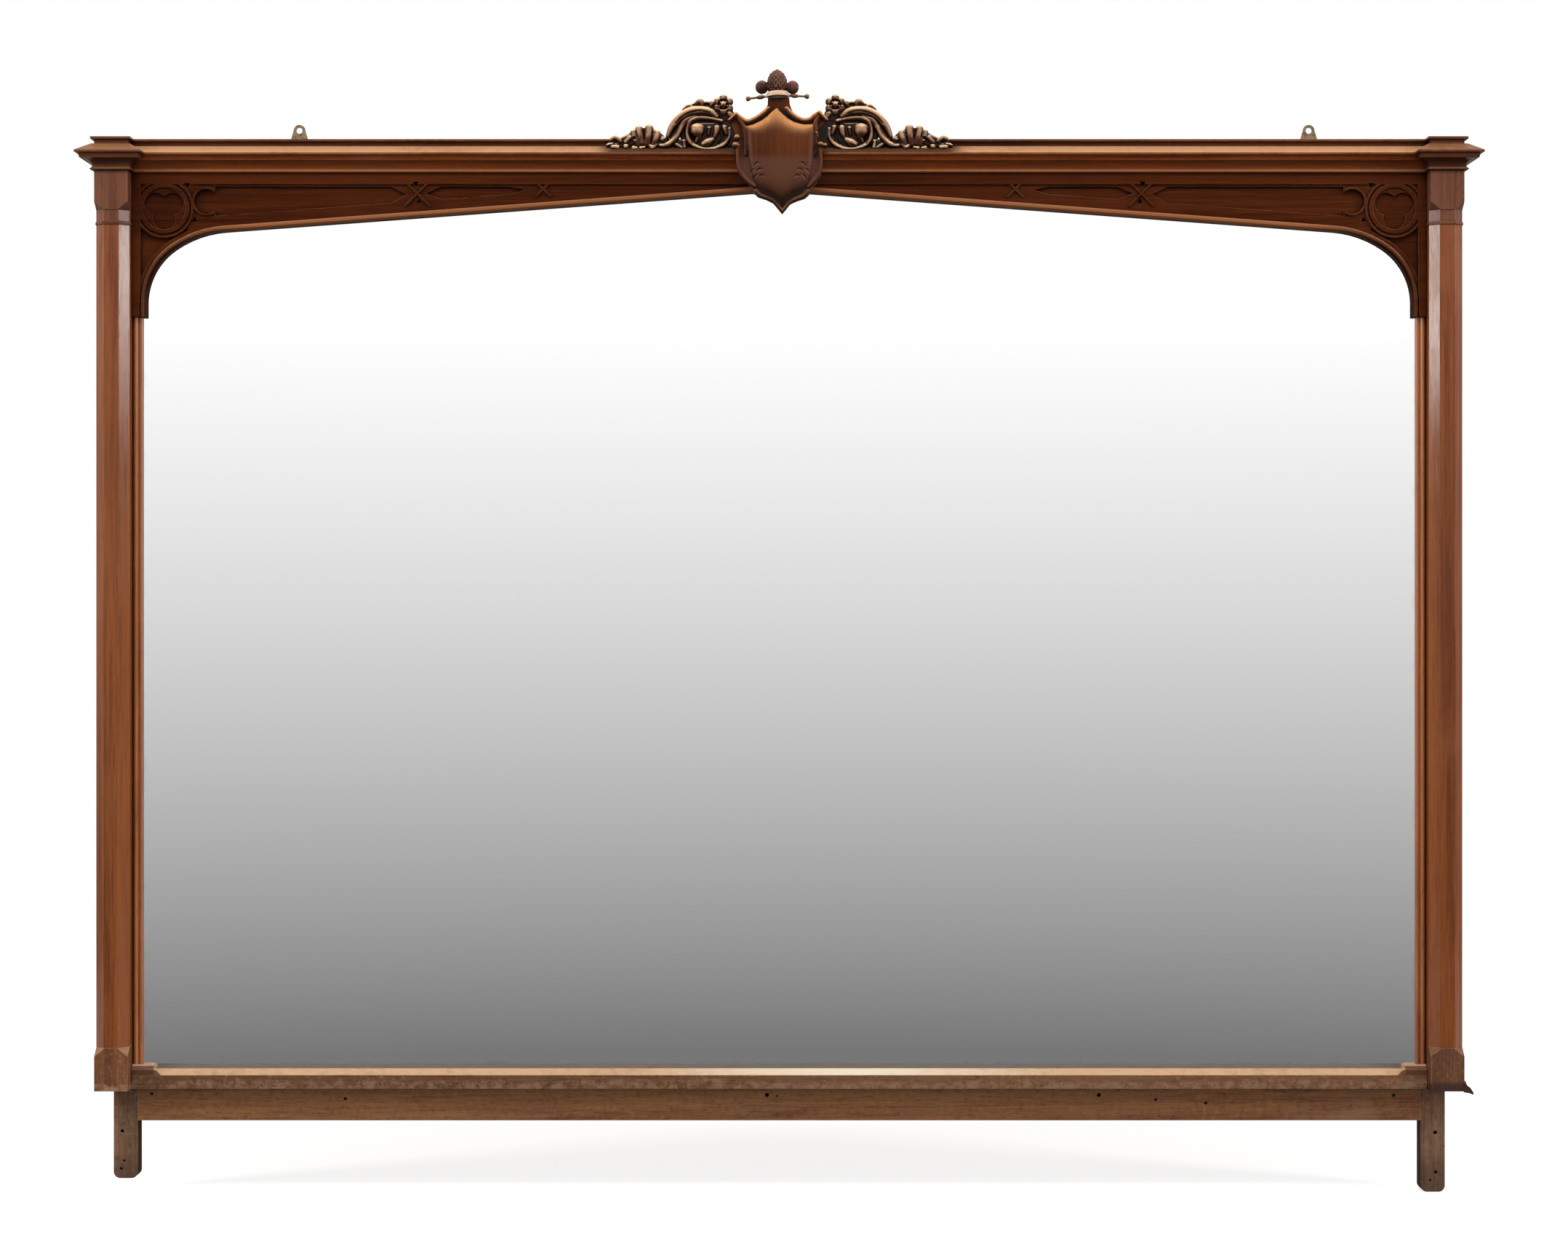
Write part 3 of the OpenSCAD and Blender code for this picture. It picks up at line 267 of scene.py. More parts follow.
def oldWood(name, look):
    # waxed old oak: grain, pores, patches, dirt in the hollows, dust on what faces up, worn arrises
    def step(wire, kind):
        return between(wire, *woodSteps[kind])

    def tipped(kind, start):
        return between(facing, start, start + woodTurns[kind])

    def below(level, blend):
        return between(z + uneven * waver, level + blend, level - blend)

    material, start, shader = finish(name)
    place = start.node("TexCoord", None, None, 3)
    normal = start.node("NewGeometry", None, None, 1)
    x, z, facing = axis(place, 0), axis(place, 2), axis(normal, 2)
    moved = vectorMath("ADD", place, look["shift"])
    grainPlace = vectorMath("MULTIPLY", moved, look["stretch"])
    drift, fibres, pores = (noise(grainPlace, *woodNoise[kind]) for kind in ("drift", "fibres", "pores"))
    rings = noise(grainPlace, look["rings"], *woodNoise["rings"])
    patches, grime = (noise(place, *woodNoise[kind]) for kind in ("patches", "grime"))
    uneven, blotched = patches - 0.5, grime - 0.5
    pores = step(pores, "pores")
    colour = colours(step(rings, "rings"), look["mid"], look["dark"])
    colour = colours(step(drift + fibres * 0.5, "drift"), colour, look["light"])
    colour = colours(step(patches, "bloom"), colour, look["bloom"])
    colour = colours(pores * look["pored"], colour, look["pore"])
    if look["knots"]:
        knotPlace = vectorMath("MULTIPLY", moved, woodKnots["stretch"])
        knot = start.node("TexVoronoi", None, {"Vector": knotPlace, "Scale": woodKnots["scale"]})
        knot = knot + blotched * woodKnots["waver"]
        colour = colours(step(knot, "knotRing") * 0.6, colour, look["dark"])
        colour = colours(step(knot, "knotHeart") * look["knots"], colour, look["sootAndShade"])
    if look["stained"]:  # spotted and bleached by damp and old polish
        spots = noise(moved, *woodNoise["spots"])
        colour = colours(step(spots, "darkSpots") * look["stained"] * 0.75, colour, look["sootAndShade"])
        colour = colours(step(spots + uneven * 0.2, "paleSpots") * look["stained"] * 0.5, colour, look["fadedAndLit"])
    # darker in recesses and where parts meet: partly dirt, partly painted shade
    hollow = start.node("AmbientOcclusion", {"samples": look["rays"]}, {"Distance": look["hollowDepth"]}, 1)
    dirtAndShade = between(hollow + blotched * 0.3, *woodSteps["dirtAndShade"], look["dirtAndShade"], 0.0)
    colour = colours(dirtAndShade, colour, look["sootAndShade"])
    softened = start.node("Bevel", {"samples": look["rays"]}, {"Radius": look["arris"]})
    flat = vectorMath("DOT_PRODUCT", softened, normal, 1)
    worn = step(flat, "arris") * step(hollow, "open") * step(grime + patches * 0.6, "rubbed")
    colour = colours(worn * look["wearAndHighlight"], colour, look["bareAndHighlight"])
    relief = start.node("Attribute", {"attribute_name": "relief"}, None, 2)  # carved pieces only, elsewhere 0
    # the ground between carved forms darker, partly dirt and partly painted shade; their crowns paler, partly wear and
    # partly painted highlight
    colour = colours(step(relief, "carvedGroundDirtAndShade"), colour, look["sootAndShade"])
    colour = colours(step(relief + blotched * 2.0, "carvedCrownWearAndHighlight") * look["wearAndHighlight"], colour, look["bareAndHighlight"])
    clean = 1.0
    if look["lowTintAndShade"]:  # a tint on all that lies below a level, with less dust there: painted shadow along the right foot, painted reflection and a wax bloom on the shield's lower half
        level, blend, amount, shade = look["lowTintAndShade"]
        belowTint = below(level, blend) * amount
        colour = colours(belowTint, colour, shade)
        clean = 1.0 - belowTint
    # painted shade on faces that turn downwards
    colour = colours(tipped("under", look["underFrom"]) * look["under"], colour, look["sootAndShade"])
    # painted shade on faces that turn to either side
    sideShade = step(abs(axis(normal, 0)), "sides") * look["sides"]
    colour = colours(sideShade, colour, look["sootAndShade"])
    if look["scuff"]:  # knocked and rubbed along the foot
        level, amount, shade = look["scuff"]
        colour = colours(below(level, fade) * step(grime, "scuffed") * amount, colour, shade)
    # paler on faces that turn upwards: dust, and painted top light and sheen
    dustyAndLit = tipped("dustAndTopLight", look["dustAndTopLightFrom"]) * step(grime * 0.6 + patches * 0.5, "dustAndTopLight") * clean
    colour = colours(dustyAndLit * look["dustAndTopLight"], colour, look["fadedAndLit"])
    if look["paintedLightSpan"]:  # painted light and shade over a stretch of faces: painted shadow of the crest on the cornice, painted reflection in the middle of the sill, painted highlights on the arch bead and the collar
        middle, half, blend, amount, shade, steep = look["paintedLightSpan"]
        near = between(abs(x - middle) + uneven * blend, half + blend, half - blend) * tipped("paintedLightSpan", steep)
        near = near * between(z, look["paintedLightSpanFrom"] - fade, look["paintedLightSpanFrom"] + fade)
        colour = colours(near * amount, colour, shade)
    for band in look["bands"]:  # darker strips: along the glass, and at its ends
        near = between(abs(x), *band["across"])
        for edge in band["up"]:
            near = near * between(z, *edge)
        colour = colours(near * band["amount"], colour, band["shade"])
    rough = fibres * 0.08 + dirtAndShade * 0.25 + dustyAndLit * 0.2 + uneven * 0.25 + sideShade * 0.5 + look["rough"]
    height = fibres * 0.5 + rings * 0.25 - pores * 0.5 + grime * look["dents"]
    bump = start.node("Bump", None, {"Strength": look["bump"], "Distance": look["bumpDepth"], "Height": height,
                                     "Normal": softened})
    connect(shader, Base_Color=colour, Roughness=rough, Normal=bump, Specular_IOR_Level=look["shine"])
    return material


def shades(light, mid, dark, bloom=None, fadedAndLit=None):
    # a timber's colours: its grain's three, the bloom of its patches, and what dust and painted top light make of it
    named = {"light": light, "mid": mid, "dark": dark, "bloom": bloom, "fadedAndLit": fadedAndLit}
    return {name: tone(*colour) for name, colour in named.items() if colour}


grainUp = (1.0, 1.0, 0.035)
grainAcross = (0.035, 1.0, 1.0)
woodLook = {
    "stretch": grainUp, "rings": 60.0,
    **shades((133, 75, 35), (107, 54, 22), (85, 40, 15), (117, 65, 35)),
    # sootAndShade is the dark colour of soot, stains and knots, and of the painted shade in hollows, underneath and on
    # the sides
    "pore": tone(52, 22, 9), "sootAndShade": tone(24, 8, 3), "bareAndHighlight": tone(184, 134, 94), "fadedAndLit": tone(170, 128, 94),
    "hollowDepth": 0.008, "dirtAndShade": 0.7, "arris": 0.0014, "wearAndHighlight": 0.45, "dustAndTopLight": 0.8, "dustAndTopLightFrom": 0.25,
    "rough": 0.13, "dents": 0.25, "bump": 0.14, "bumpDepth": 0.0006, "shine": 0.22, "pored": 0.5, "knots": 0.0,
    "under": 0.5, "underFrom": -0.2, "sides": 0.0, "stained": 0.0, "shift": (0.0, 0.0, 0.0), "rays": 6,
    "lowTintAndShade": None,  # level, blend, amount, shade
    "scuff": None,  # level, amount, shade
    "paintedLightSpan": None, "paintedLightSpanFrom": -1.0,  # middle, half width, blend, amount, shade, how steep; and from what height
    "bands": [],
}
looks = {
    "pilaster_wood": {"pored": 0.25},
    "capital": {
        **shades((110, 70, 51), (91, 53, 36), (73, 38, 23), (102, 60, 43)), "shine": 0.14, "rough": 0.2,
    },
    "foot": {
        **shades((122, 78, 50), (94, 56, 33), (72, 41, 25), (110, 80, 59), (178, 140, 108)),
        "scuff": (0.009, 0.7, tone(140, 112, 92)), "rough": 0.3, "dents": 0.6, "bump": 0.7, "shine": 0.1, "wearAndHighlight": 0.7,
        "pored": 0.25, "dustAndTopLight": 0.3, "stained": 0.45,
    },
    "rightFoot": {
        **shades((108, 71, 49), (84, 51, 33), (63, 37, 25), (98, 71, 55), (150, 112, 84)), "rough": 0.3, "dents": 0.6,
        "bump": 0.7, "shine": 0.1, "wearAndHighlight": 0.7, "pored": 0.25, "dustAndTopLight": 0.15,
        # painted shadow along the bottom of the right foot and the moulding fragment
        "lowTintAndShade": (0.011, 0.003, 0.85, tone(46, 29, 27)), "stained": 0.45,
    },
    "sill": {
        "stretch": grainAcross, **shades((113, 77, 51), (82, 51, 31), (62, 37, 22), (103, 77, 56), (166, 134, 102)),
        # a painted reflection, pale, in the middle of the chamfer
        "scuff": (0.011, 0.6, tone(126, 98, 79)), "paintedLightSpan": (0.1, 0.17, 0.15, 0.9, tone(186, 172, 152), 0.15),
        "rough": 0.3, "dents": 0.7, "bump": 0.8, "shine": 0.12, "wearAndHighlight": 0.6, "dustAndTopLight": 0.95, "stained": 0.4,
        "bands": [  # darker along the glass, and darker at the ends past it
            {"across": (0.864, 0.860), "up": [(0.0264, 0.0280)], "amount": 1.0, "shade": tone(84, 75, 69)},
            {"across": (0.862, 0.866), "up": [(0.0316, 0.0304), (0.018, 0.020)], "amount": 0.85,
             "shade": tone(74, 42, 30)},
        ],
    },
    "frieze_wood": {
        "stretch": grainAcross, **shades((80, 36, 11), (60, 23, 5), (42, 13, 2), (66, 28, 10), (112, 68, 42)),
        # painted shade deep in the recesses, against the capitals, and on the side faces
        "wearAndHighlight": 0.2, "dustAndTopLight": 0.45, "shine": 0.03, "hollowDepth": 0.02, "dirtAndShade": 0.95, "rough": 0.25, "bump": 0.3,
        "sides": 0.7,
    },
    "cornice_wood": {
        "stretch": grainAcross, **shades((138, 78, 41), (111, 52, 19), (84, 34, 9), (116, 68, 44), (158, 118, 86)),
        "dustAndTopLight": 0.95, "shine": 0.06, "rough": 0.25, "wearAndHighlight": 0.6, "under": 0.1,
        # painted shadow of the crest on the upper faces in the middle
        "paintedLightSpan": (0.0, 0.245, 0.018, 0.85, tone(24, 8, 3), 0.15), "paintedLightSpanFrom": 1.278,
        "lowTintAndShade": (1.277, 0.003, 0.38, tone(140, 70, 30)), "hollowDepth": 0.012, "dirtAndShade": 0.8,
    },
    "capping": {
        "stretch": grainAcross, **shades((112, 62, 32), (84, 40, 16), (62, 26, 8), (92, 52, 34), (150, 116, 90)),
        "shine": 0.06, "rough": 0.3,
    },
    "cap": {
        "stretch": grainAcross, **shades((106, 62, 39), (79, 42, 25), (58, 27, 13), (88, 55, 38), (116, 78, 51)),
        "shine": 0.08, "rough": 0.25, "wearAndHighlight": 0.3,
    },
    "archBead": {
        "stretch": grainAcross, **shades((104, 62, 42), (82, 46, 30), (62, 32, 19), (88, 52, 36), (140, 100, 74)),
        # painted highlight along the bead away from the haunches, painted shade on its underside and sides
        "dustAndTopLight": 0.5, "shine": 0.0, "rough": 0.3, "bump": 0.3, "wearAndHighlight": 0.5, "under": 0.92, "underFrom": 0.2,
        "sides": 0.6, "paintedLightSpan": (0.0, 0.78, 0.08, 0.75, tone(134, 84, 54), -2.0),
    },
    "slip": {
        "shine": 0.45, **shades((174, 107, 61), (146, 84, 45), (118, 62, 30), (152, 93, 57)), "dirtAndShade": 0.4,
        "hollowDepth": 0.003,
    },
    "bud": {
        **shades((92, 56, 45), (68, 40, 32), (46, 25, 19), (78, 46, 38), (128, 88, 66)), "dustAndTopLight": 0.6, "dirtAndShade": 1.0,
        "hollowDepth": 0.006, "shine": 0.1, "under": 0.8,
    },
    "collar": {  # a painted highlight across the middle, its arms darker
        **shades((126, 92, 68), (98, 66, 48), (66, 40, 28), (108, 76, 56), (176, 142, 112)), "under": 0.85,
        "dirtAndShade": 0.9, "shine": 0.1, "paintedLightSpan": (-0.003, 0.0165, 0.002, 0.85, tone(190, 160, 134), -0.6),
    },
    "carved_wood": {
        "stretch": grainAcross, **shades((94, 56, 37), (64, 35, 23), (40, 20, 12), (72, 43, 33), (210, 172, 134)),
        # painted shade in the hollows and underneath, painted highlight on the crowns
        "bareAndHighlight": tone(214, 168, 126), "dustAndTopLight": 0.95, "hollowDepth": 0.02, "dirtAndShade": 1.0, "wearAndHighlight": 0.32, "dents": 0.5,
        "shine": 0.15, "dustAndTopLightFrom": 0.3, "under": 0.85,
    },
    "shield_wood": {
        "stretch": grainUp, **shades((84, 42, 15), (66, 29, 7), (52, 20, 4), (74, 35, 11), (172, 118, 72)),
        # painted reflection with a wax bloom on the lower half, painted top light and sheen on the upper faces, painted
        # shade underneath
        "rough": 0.4, "shine": 0.07, "lowTintAndShade": (1.28, 0.007, 0.85, tone(76, 46, 33)), "dustAndTopLight": 0.95, "dustAndTopLightFrom": 0.06,
        "wearAndHighlight": 0.05, "bump": 0.1, "under": 0.92, "underFrom": 0.04,
    },
    "frame_wood": {
        "stretch": grainAcross, **shades((134, 92, 58), (108, 70, 44), (84, 50, 30), (118, 84, 60), (150, 114, 82)),
        "rough": 0.45, "dents": 0.6, "bump": 0.8, "shine": 0.1, "pored": 0.25, "stained": 0.4,
    },
    "stile": {
        **shades((124, 92, 71), (96, 71, 54), (76, 54, 39), (108, 84, 68), (150, 120, 96)), "rough": 0.45,
        # painted shade on the side faces
        "dents": 0.7, "bump": 0.8, "shine": 0.04, "wearAndHighlight": 0.4, "pored": 0.2, "sides": 0.8, "stained": 0.5,
        "lowTintAndShade": (-0.098, 0.02, 0.55, tone(62, 47, 39)),
    },
    "softwood": {
        "stretch": grainUp, "rings": 34.0, "knots": 0.9,
        **shades((196, 158, 108), (172, 128, 82), (134, 92, 54), (150, 116, 82)), "pore": tone(110, 72, 42),
        "sootAndShade": tone(60, 40, 26), "bareAndHighlight": tone(208, 176, 132), "fadedAndLit": tone(186, 152, 112), "rough": 0.62,
        "dents": 0.5, "bump": 0.9, "shine": 0.12,
    },
}
looks["secondBoard"] = {**looks["softwood"], "shift": (3.7, 1.3, 0.8),
                        **shades((188, 148, 98), (160, 116, 72), (122, 82, 46))}
ownFinish = {  # pieces whose finish differs from their slot's
    "cornice_capping": "capping", "finial_collar": "collar", "left_base_block": "foot", "right_base_block": "rightFoot",
    "base_moulding_fragment": "rightFoot", "sill": "sill",
    "backboard_2": "secondBoard", "backboard_4": "secondBoard", "backboard_6": "secondBoard",
}
for kind, name in (("capital_block", "capital"), ("neck_ring", "cap"), ("cap_moulding", "cap"), ("cap_plate", "cap"),
                   ("arch_moulding", "archBead"), ("slip", "slip"), ("stile", "stile")):
    ownFinish["left_" + kind] = ownFinish["right_" + kind] = name
finishes = {name: oldWood(name + "Finish", {**woodLook, **own}) for name, own in looks.items()}


def silveredGlass(name, look):
    # silvering seen through the plate, with a little foxing and cloud near the edges
    material, start, shader = finish(name)
    place = start.node("TexCoord", None, None, 3)
    front = between(axis(start.node("NewGeometry", None, None, 1), 1), *look["front"])
    spots = noise(place, *look["spots"])
    edge = start.maths("MAXIMUM", abs(axis(place, 0)) / look["halfWidth"],
                       abs(axis(place, 2) - look["middle"]) / look["halfHeight"])
    fox = between(edge + (spots - 0.5) * look["waver"], *look["rim"]) * between(spots, *look["spotted"])
    colour = colours(fox * look["foxed"], look["silver"], look["foxing"])
    colour = colours(front, look["backPaint"], colour)
    connect(shader, Base_Color=colour, Metallic=front, Roughness=look["backRough"] - front * look["polish"])
    return material


glassLook = {
    "halfWidth": 0.882, "middle": 0.64, "halfHeight": 0.607,
    "front": (-0.2, -0.6),  # how far a face looks forward before it is silver
    "spots": (26.0, 8.0, 0.75), "spotted": (0.45, 0.62), "rim": (0.992, 1.003), "waver": 0.02, "foxed": 0.12,
    "backRough": 0.45, "polish": 0.44,
    "silver": (0.905, 0.91, 0.905), "foxing": (0.12, 0.10, 0.08), "backPaint": tone(96, 88, 80),
}
finishes["mirror_plate"] = silveredGlass("mirrorPlateFinish", glassLook)

metalLook = {
    "cloud": (130.0, 6.0, 0.7), "clouded": (0.42, 0.66), "scratch": (1400.0, 3.0), "stretch": (1.0, 1.0, 0.06),
    "scratched": 0.4, "bump": 0.4, "bumpDepth": 0.0003, "dullRough": 0.3,
}


def oldMetal(name, look):
    # bright metal under clouds of tarnish or rust, finely scratched
    material, start, shader = finish(name)
    place = start.node("TexCoord", None, None, 3)
    cloud = noise(place, *look["cloud"])
    scratch = noise(vectorMath("MULTIPLY", place, look["stretch"]), *look["scratch"])
    dull = between(cloud, *look["clouded"])
    colour = colours(dull, look["bright"], look["tarnish"])
    bump = start.node("Bump", None, {"Strength": look["bump"], "Distance": look["bumpDepth"],
                                     "Height": scratch * look["scratched"] + cloud})
    connect(shader, Base_Color=colour, Metallic=1.0 - dull * look["crust"],
            Roughness=dull * look["dullRough"] + look["rough"], Normal=bump)
    return material


finishes["plate_brass"] = oldMetal("plateBrassFinish", {
    **metalLook, "bright": tone(128, 112, 88), "tarnish": tone(62, 50, 38), "crust": 0.6, "rough": 0.42})
finishes["screw_steel"] = oldMetal("screwSteelFinish", {
    **metalLook, "bright": tone(150, 146, 140), "tarnish": tone(74, 56, 44), "crust": 0.7, "rough": 0.38})
finishes["rustyIron"] = oldMetal("rustyIronFinish", {
    **metalLook, "bright": tone(42, 30, 26), "tarnish": tone(34, 18, 12), "crust": 0.9, "rough": 0.6})

print("stage: packed pieces")
packed = {"corner": 34, "merge": 0.00001}  # degrees from which an edge stays sharp; metres within which points join


def nodeTree(name, inputs, output):
    # a geometry tree with its named inputs and its output, their two nodes, and what makes and links others
    group = bpy.data.node_groups.new(name, "GeometryNodeTree")
    for label, kind in inputs.items():
        group.interface.new_socket(label, in_out="INPUT", socket_type="NodeSocket" + kind)
    group.interface.new_socket(output, in_out="OUTPUT", socket_type="NodeSocketGeometry")
    entry, leave = group.nodes.new("NodeGroupInput"), group.nodes.new("NodeGroupOutput")
    return group, entry, leave, group.nodes.new, group.links.new


def inLine(link, *row):
    # the first output of each node goes into the first input of the next
    for first, second in zip(row, row[1:]):
        link(first.outputs[0], second.inputs[0])


def softEdges():
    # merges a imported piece's loose triangles, shades its curves smooth and keeps its corners sharp
    group, entry, leave, new, link = nodeTree(
        "softEdges", {"Geometry": "Geometry", "Corner Angle": "Float"}, "Geometry")
    group.interface.items_tree["Corner Angle"].default_value = math.radians(packed["corner"])
    merge, faces, edges, bend, compare = (new(kind) for kind in (
        "GeometryNodeMergeByDistance", "GeometryNodeSetShadeSmooth", "GeometryNodeSetShadeSmooth",
        "GeometryNodeInputMeshEdgeAngle", "FunctionNodeCompare"))
    merge.inputs["Distance"].default_value = packed["merge"]
    faces.domain, edges.domain = "FACE", "EDGE"
    edges.inputs["Shade Smooth"].default_value = False
    compare.operation = "GREATER_THAN"
    inLine(link, entry, merge, faces, edges, leave)
    link(bend.outputs["Unsigned Angle"], compare.inputs[0])
    link(entry.outputs[1], compare.inputs[1])
    link(compare.outputs[0], edges.inputs["Selection"])
    return group


smoothing = softEdges()
for name, node in nodes.items():
    slot = node.data.materials[0].name
    node.data.materials[0] = finishes[ownFinish.get(name, slot)]
    node.modifiers.new("softEdges", "NODES").node_group = smoothing

print("stage: carving")


def petals(across, up, *points):
    # a rosette's six petals, each a short stroke outwards
    turns = [math.tau * i / 6 for i in range(6)]
    return [[(round(across - far * math.sin(turn), 1), round(up + far * math.cos(turn), 1), half, height)
             for far, half, height in points] for turn in turns]


# Carved pieces, in millimetres from the middle of the cornice's top edge. A stroke is a row of across, up,
# half width and height from the piece's flat back, or depth where it is a hollow.
scrollWork = {
    "reach": ((50.0, 158.0), (-5.6, 70.6)), "finish": "carved_wood",
    "back": -42.8, "edge": 3.0, "step": 0.5, "floor": 8.0,
    "grounds": [
        [(141.8, 3.3, 6, 4), (133.8, 1.3, 8, 4)],
        [(146.8, 12.3, 5, 4), (136.8, 26.4, 7, 4), (123.8, 40.4, 7, 4), (106.7, 43.4, 7, 4), (90.7, 42.4, 8, 4)],
        [(121.8, 17.3, 16, 4), (99.7, 17.3, 23, 4), (81.7, 17.3, 22, 4)],
        [(71.7, 31.4, 12, 4), (67.6, 9.3, 12, 4)],
        [(129.8, 48.4, 4.5, 5), (116.7, 54.4, 5, 5), (103.7, 55.4, 6, 5), (86.7, 52.4, 8, 5)],
        [(77.7, 49.4, 12, 5), (71.7, 41.4, 10, 4.5)],
        [(62.0, 34.0, 8, 4.5), (57.0, 18.0, 9, 4.5), (58.0, 3.0, 8, 4.5)],
    ],
    "rolls": [
        [(153.8, 12.3, 3, 8), (147.8, 25.4, 5, 12), (137.8, 37.4, 6, 14.5), (123.8, 45.9, 6.3, 16.5),
         (108.7, 47.9, 6, 17.5), (95.7, 45.9, 5, 15.5), (86.7, 39.4, 3.2, 10)],
        [(114.7, 39.4, 2.5, 8), (127.8, 34.4, 4, 11), (134.8, 24.4, 4.4, 12.5), (140.8, 13.3, 4, 12),
         (147.8, 5.3, 3.6, 11.5), (154.8, 0.3, 4, 12.5), (158.8, -0.7, 3, 10)],
        [(79.7, 33.4, 2.4, 8.5), (95.7, 36.9, 2.6, 9.5), (111.7, 37.4, 3, 10.5), (122.8, 32.4, 3.6, 12),
         (126.3, 23.4, 3.6, 12), (126.3, 13.3, 3.4, 11.5), (122.8, 4.3, 3.2, 10.5), (113.7, -2.7, 3, 10),
         (100.7, -5.7, 3, 9.5), (86.7, -4.2, 3, 9.5), (74.7, 2.3, 2.8, 9), (68.7, 12.3, 2.6, 8.5),
         (68.7, 22.4, 2.4, 8)],
        [(113.2, 20.6, 10.2, 19.0)],
        [(110.7, 12.3, 4.6, 10.5), (114.7, 5.3, 3, 8.5)],
        [(104.7, 1.3, 3.4, 11), (98.7, 3.8, 5, 14.5), (92.2, 7.3, 3.4, 11)],
        [(85.7, 23.4, 4.6, 11), (87.7, 16.3, 4, 9.5), (90.7, 9.3, 2.6, 7.5)],
        [(75.7, 24.4, 3.6, 8), (72.7, 16.3, 3, 7.5)],
        [(96.7, 23.4, 3, 7.5), (97.7, 15.3, 2.6, 7)],
        [(77.2, 55.9, 4.0, 15.5)],
        *petals(77.2, 55.9, (6.8, 4.8, 9.5), (9.0, 5.8, 8.5)),
        [(68.7, 43.4, 4, 8.5), (62.6, 36.4, 3.4, 8)],
        [(105.7, 53.4, 2.6, 8), (108.7, 60.9, 4.2, 10.5), (113.7, 58.4, 3, 8)],
        [(94.7, 54.4, 2.6, 8), (91.7, 58.9, 3.6, 9)],
        [(119.8, 51.4, 2.4, 7.5), (124.8, 53.9, 3.6, 9), (129.8, 50.4, 3, 8)],
        [(133.8, 45.4, 3, 8.5), (138.8, 40.4, 2.6, 8)],
        [(131.3, 5.3, 2.8, 8.5), (130.3, -2.7, 3.2, 9)],
        [(141.8, 0.3, 3, 7), (135.8, -3.7, 3, 7)],
    ],
    "hollows": [
        [(77.2, 62.2, 2.0, 4.5), (72.4, 60.1, 2.0, 4.5), (71.7, 52.9, 2.0, 4.5), (77.2, 49.8, 2.0, 4.5),
         (82.7, 52.9, 2.0, 4.5), (82.0, 60.1, 2.0, 4.5), (77.2, 62.2, 2.0, 4.5)],
        [(100.2, 55.9, 2.8, 6)],
        [(142.8, 29.4, 1.1, 2.0), (132.8, 38.9, 1.2, 2.4), (120.8, 44.4, 1.2, 2.6), (107.7, 45.9, 1.2, 2.4),
         (94.7, 43.4, 0.9, 1.4)],
        [(137.8, 22.4, 0.9, 1.6), (142.8, 13.3, 1.0, 1.8), (149.8, 6.3, 0.9, 1.6)],
        [(118.8, 30.9, 2.0, 3.5), (105.7, 32.9, 2.2, 4), (91.7, 32.4, 2.0, 3.5)],
        [(81.7, 29.4, 2.2, 3.5), (78.7, 9.3, 2.2, 3.5), (83.7, 2.3, 2, 3)],
        [(119.8, 13.3, 1.6, 2.6), (118.8, 2.3, 1.8, 3)],
    ],
}
leafWork = {
    "reach": ((155.2, 238.4), (-5.4, 30.0)), "finish": "carved_wood",
    "back": -42.8, "edge": 3.0, "step": 0.5, "floor": 8.0,
    "grounds": [
        [(234.0, 0.3, 4, 4.5), (220.0, 3.3, 7, 5), (205.9, 7.3, 9, 5), (189.9, 11.3, 13, 5.5), (174.9, 9.3, 13, 5.5),
         (160.8, 4.3, 8, 5)],
        [(227.0, 6.3, 4.5, 4.5)],
    ],
    "rolls": [
        [(193.9, 1.3, 4.6, 8.5), (198.4, 11.3, 5.2, 10.5), (200.9, 17.8, 4.6, 9.5)],
        [(188.9, 3.3, 5.4, 10), (191.9, 14.3, 6.0, 12.5), (193.4, 22.4, 5.4, 11)],
        [(181.9, 2.3, 5.4, 10), (180.4, 13.3, 6.2, 13.5), (179.4, 23.4, 6.0, 12)],
        [(172.9, 2.3, 4.8, 9.5), (170.4, 10.3, 5.4, 12), (168.4, 16.8, 4.8, 10.5)],
        [(230.0, -2.7, 3.4, 9.5), (223.0, -3.2, 3.6, 9.5)],
        [(211.4, -2.2, 4.2, 10)],
        [(200.9, -4.2, 3.6, 10), (196.9, -4.7, 3, 9)],
        [(190.9, -4.7, 3.6, 10), (185.9, -3.7, 3, 9)],
        [(179.9, 0.3, 3, 9), (174.9, -3.7, 4, 11), (169.9, 0.3, 3, 9)],
        [(163.8, -0.7, 3, 8), (158.8, -0.7, 3, 8)],
        [(218.9, 5.3, 2.6, 8), (226.0, 10.8, 3.6, 9), (233.0, 7.3, 3, 8)],
        [(211.9, 4.3, 3, 8.5), (205.9, 10.3, 3.6, 9)],
        [(231.0, 1.3, 2.6, 7.5), (238.0, -0.2, 2.2, 6.5)],
        [(161.8, 7.3, 3, 8), (157.8, 9.3, 3, 8)],
    ],
    "hollows": [
        [(199.4, 9.3, 2.4, 5)],
        [(186.9, 25.9, 1.1, 3.5), (186.4, 16.3, 1.0, 2.4), (186.2, 7.3, 0.8, 1.6)],
        [(174.9, 21.9, 0.8, 2.0), (175.9, 13.3, 0.8, 1.6), (176.9, 5.3, 0.7, 1.2)],
        [(197.2, 18.9, 0.8, 2.0), (195.2, 10.3, 0.8, 1.4)],
        [(160.3, 15.3, 3.2, 7)],
        [(225.0, 4.3, 1.8, 4)],
        [(218.4, -4.2, 1.4, 4)],
        [(205.9, -5.2, 1.3, 4)],
        [(182.4, -5.7, 1.4, 4)],
        [(164.8, -5.2, 1.6, 4)],
    ],
}
